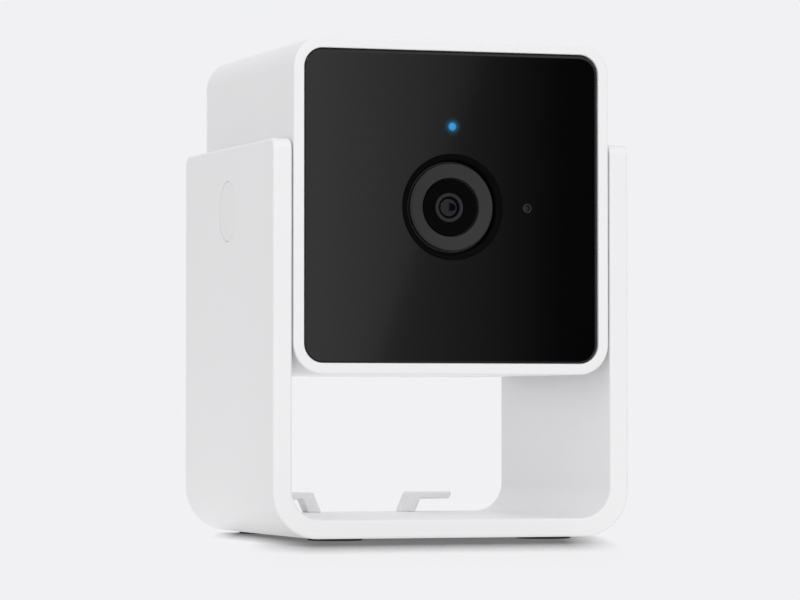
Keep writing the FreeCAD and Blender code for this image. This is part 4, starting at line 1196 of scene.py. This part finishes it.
def makeWorld():
    world = bpy.data.worlds.new("studio")
    world.use_nodes = True
    scene.world = world
    graph = Graph(world.node_tree)
    rays = graph.tree.nodes.new("ShaderNodeLightPath")
    kinds = ("Is Camera Ray", "Is Glossy Ray", "Is Transmission Ray")
    camera, glossy, transmitted = (Wire(graph, rays.outputs[kind]) for kind in kinds)
    seen = (camera + glossy + transmitted).held()
    _, y, z = graph.parts(graph.add("ShaderNodeTexCoord"))
    level = studio["room"] + (z * z) ** 1.5 * studio["aboveAndBelow"]
    level = level + (0 - y).held() ** 8.0 * studio["ahead"] + y.held() ** 8.0 * studio["behind"]
    room = graph.add("ShaderNodeCombineColor", {}, {0: level, 1: level, 2: level * 1.008})
    colour = mixed(graph, seen, room, studio["backdrop"])
    background = graph.add("ShaderNodeBackground", {}, {"Color": colour, "Strength": 1.0})
    graph.add("ShaderNodeOutputWorld", {}, {"Surface": background})


# The floor has a long soft lamp of its own, high and behind, that lights nothing else: its shadow
# falls forward from the object and fades out about 50 mm in front of it
ground = {
    "colour": (0.10, 0.10, 0.101),
    "glow": (0.095, 0.095, 0.0965),
    "all": (0.08, 0.16),        # metres out to which the floor is solid, and where it is gone
    "left": (0.028, 0.032),     # it is narrow, so that the shadow keeps to the camera's side
    "right": (0.026, 0.034),
    "beside": (0.0235, 0.034),  # and narrower still beside the base's left edge
    "besideLeft": (0.013, 0.024),
    "lampTurnUp": 66.5,     # degrees above the horizon, behind the object as the camera sees it
    "lampAway": 4.0,
    "lampSize": (0.32, 1.75),
    "lampPower": 1235.0,
}


def makeFloor():
    bm = bmesh.new()
    bmesh.ops.create_circle(bm, cap_ends=True, radius=ground["all"][1] + 0.02, segments=64)
    mesh = bpy.data.meshes.new("floor")
    bm.to_mesh(mesh)
    bm.free()
    floor = linkNew("floor", mesh)
    floor.visible_diffuse = False
    material, graph, place = newMaterial("paperFloor")
    away = graph.vector("LENGTH", place, out=1)
    turn = math.radians(view["turn"])
    aside = graph.vector("DOT_PRODUCT", place, (math.cos(turn), -math.sin(turn), 0), out=1)
    x, _, _ = graph.parts(place)

    def fade(way, name):  # 1 as far as the floor is solid that way, 0 from where it is gone
        solid, gone = ground[name]
        return ((gone - way) / (gone - solid)).held()

    kept = fade(away, "all") * fade(-1 * aside, "left") * fade(aside, "right")
    kept = kept * (1 - (1 - fade(-1 * x, "beside")) * (1 - fade(-1 * aside, "besideLeft")))
    gone = 1 - kept
    paper = graph.add("ShaderNodeBsdfDiffuse", {}, {"Color": ground["colour"]})
    glow = graph.add("ShaderNodeEmission", {}, {"Color": ground["glow"], "Strength": 1.0})
    lit = graph.add("ShaderNodeAddShader", {}, {0: paper, 1: glow})
    clear = graph.add("ShaderNodeBsdfTransparent")
    surface = graph.add("ShaderNodeMixShader", {}, {0: gone, 1: lit, 2: clear})
    closeMaterial(graph, surface)
    mesh.materials.append(material)
    return floor


def makeLamp(name, place, way, size, power, pieces=()):
    # it shines the given way, and on all pieces unless some are named
    data = bpy.data.lights.new(name, "AREA")
    data.shape = "RECTANGLE"
    data.size, data.size_y = size
    data.energy = power
    lamp = bpy.data.objects.new(name, data)
    lamp.location = place
    lamp.rotation_euler = Vector(way).to_track_quat("-Z", "Y").to_euler()
    scene.collection.objects.link(lamp)
    if pieces:
        group = bpy.data.collections.new(f"{name}Pieces")
        for piece in pieces:
            group.objects.link(bpy.data.objects[piece])
        lamp.light_linking.receiver_collection = group
    return lamp


def makeFloorLamp(floor):
    rise, turn = math.radians(ground["lampTurnUp"]), math.radians(view["turn"])
    level = Vector((math.sin(turn), math.cos(turn), 0))
    place = (level * math.cos(rise) + Vector((0, 0, math.sin(rise)))) * ground["lampAway"]
    makeLamp("floorLamp", place, -place, ground["lampSize"], ground["lampPower"], [floor.name])


def makeStrip(name, way, power, pieces=()):  # a long lamp that only glances off rounded edges
    way = Vector(way)
    place = way.normalized() * studio["stripAway"] + Vector((0, 0, 0.045))
    lamp = makeLamp(name, place, -way, studio["stripSize"], power, pieces)
    lamp.data.diffuse_factor = 0.0


def makeWeakLamp(name, place, way, size, power, pieces=()):
    # what pale paper and the stand's own white walls would throw back, without a highlight
    lamp = makeLamp(name, place, way, size, power, pieces)
    lamp.data.specular_factor = 0.0
    lamp.visible_camera = False
    lamp.visible_glossy = False


def makeGlint():  # a small lamp that only the lens glass shows
    way = Vector((-0.55, -0.75, 0.50)).normalized()
    place = way * studio["stripAway"] + Vector((0, 0, 0.054))
    lamp = makeLamp("glint", place, -way, (0.14, 0.14), studio["glintPower"])
    lamp.data.shape = "DISK"
    lamp.data.diffuse_factor = 0.0


# A dark card to the right of the camera: the glossy face mirrors it, and it lights and shades
# nothing
card = {
    "ahead": 500.0,         # how far in front of the face
    "left": 60.0,
    "right": 800.0,
    "low": -60.0,
    "high": 260.0,
    "slope": (128.0, 82.0),     # where the slow darkening across the face begins, and its width
    "edge": (134.3, 4.5),       # the same of the card's edge, which slants
    "slant": 0.36,
    "edgeShare": 0.43,
    "fade": 60.0,
    "fadeRight": 400.0,
}


def makeCard():
    faceY = corners("front_panel")[0].y
    y = faceY - card["ahead"]
    points = [(x, y, z) for x, z in (
        (card["left"], card["low"]), (card["right"], card["low"]),
        (card["right"], card["high"]), (card["left"], card["high"]),
    )]
    mesh = bpy.data.meshes.new("darkCard")
    mesh.from_pydata([metres(point) for point in points], [], [(0, 1, 2, 3)])
    piece = linkNew("darkCard", mesh)
    material, graph, place = newMaterial("darkCard")
    x, _, z = graph.parts(place)
    x, z = x * 1000, z * 1000
    slope = ((x - card["slope"][0]) / card["slope"][1]).held()
    edge = ((x - (z * card["slant"] + card["edge"][0])) / card["edge"][1]).held()
    keep = (1.02 - slope * 1.06).held() * (1 - edge * card["edgeShare"])
    dark = (1 - keep).held() * ((card["right"] - x) / card["fadeRight"]).held()
    dark = dark * ((card["high"] - z) / card["fade"]).held()
    dark = dark * ((z - card["low"]) / card["fade"]).held()
    black = graph.add("ShaderNodeEmission", {}, {"Color": (0, 0, 0), "Strength": 0.0})
    clear = graph.add("ShaderNodeBsdfTransparent")
    closeMaterial(graph, graph.add("ShaderNodeMixShader", {}, {0: dark, 1: clear, 2: black}))
    mesh.materials.append(material)
    for ray in ("camera", "diffuse", "transmission", "shadow", "volume_scatter"):
        setattr(piece, f"visible_{ray}", False)


darkPieces = ["frontFace", "lensRing", "lensCone", "lensRetainer"]

makeWorld()
makeFloorLamp(makeFloor())
makeStrip("leftStrip", (-0.94, -0.30, 0.10), studio["stripPower"])
makeStrip("rightStrip", (0.94, 0.32, 0.10), studio["stripPower"])
makeStrip("topStrip", (0.0, -0.35, 0.94), studio["stripPower"])
makeStrip("topEdges", (-0.1, -0.25, 0.95), studio["edgePower"], darkPieces)
makeGlint()
makeWeakLamp("insideFill", (0, 0, 0.0262), (0, 0, -1), (0.044, 0.044), studio["insidePower"])
makeWeakLamp(
    "bounce", (-0.062, 0.004, -0.022), (0.82, 0, 0.57), (0.05, 0.07), studio["bouncePower"],
    ["standFrame"],
)
makeWeakLamp(
    "underFill", (0, 0, 0.006), (0, 0, 1), (0.05, 0.05), studio["underPower"], ["headShell"]
)
makeCard()
scene.view_settings.view_transform = "Standard"
print("studio done")
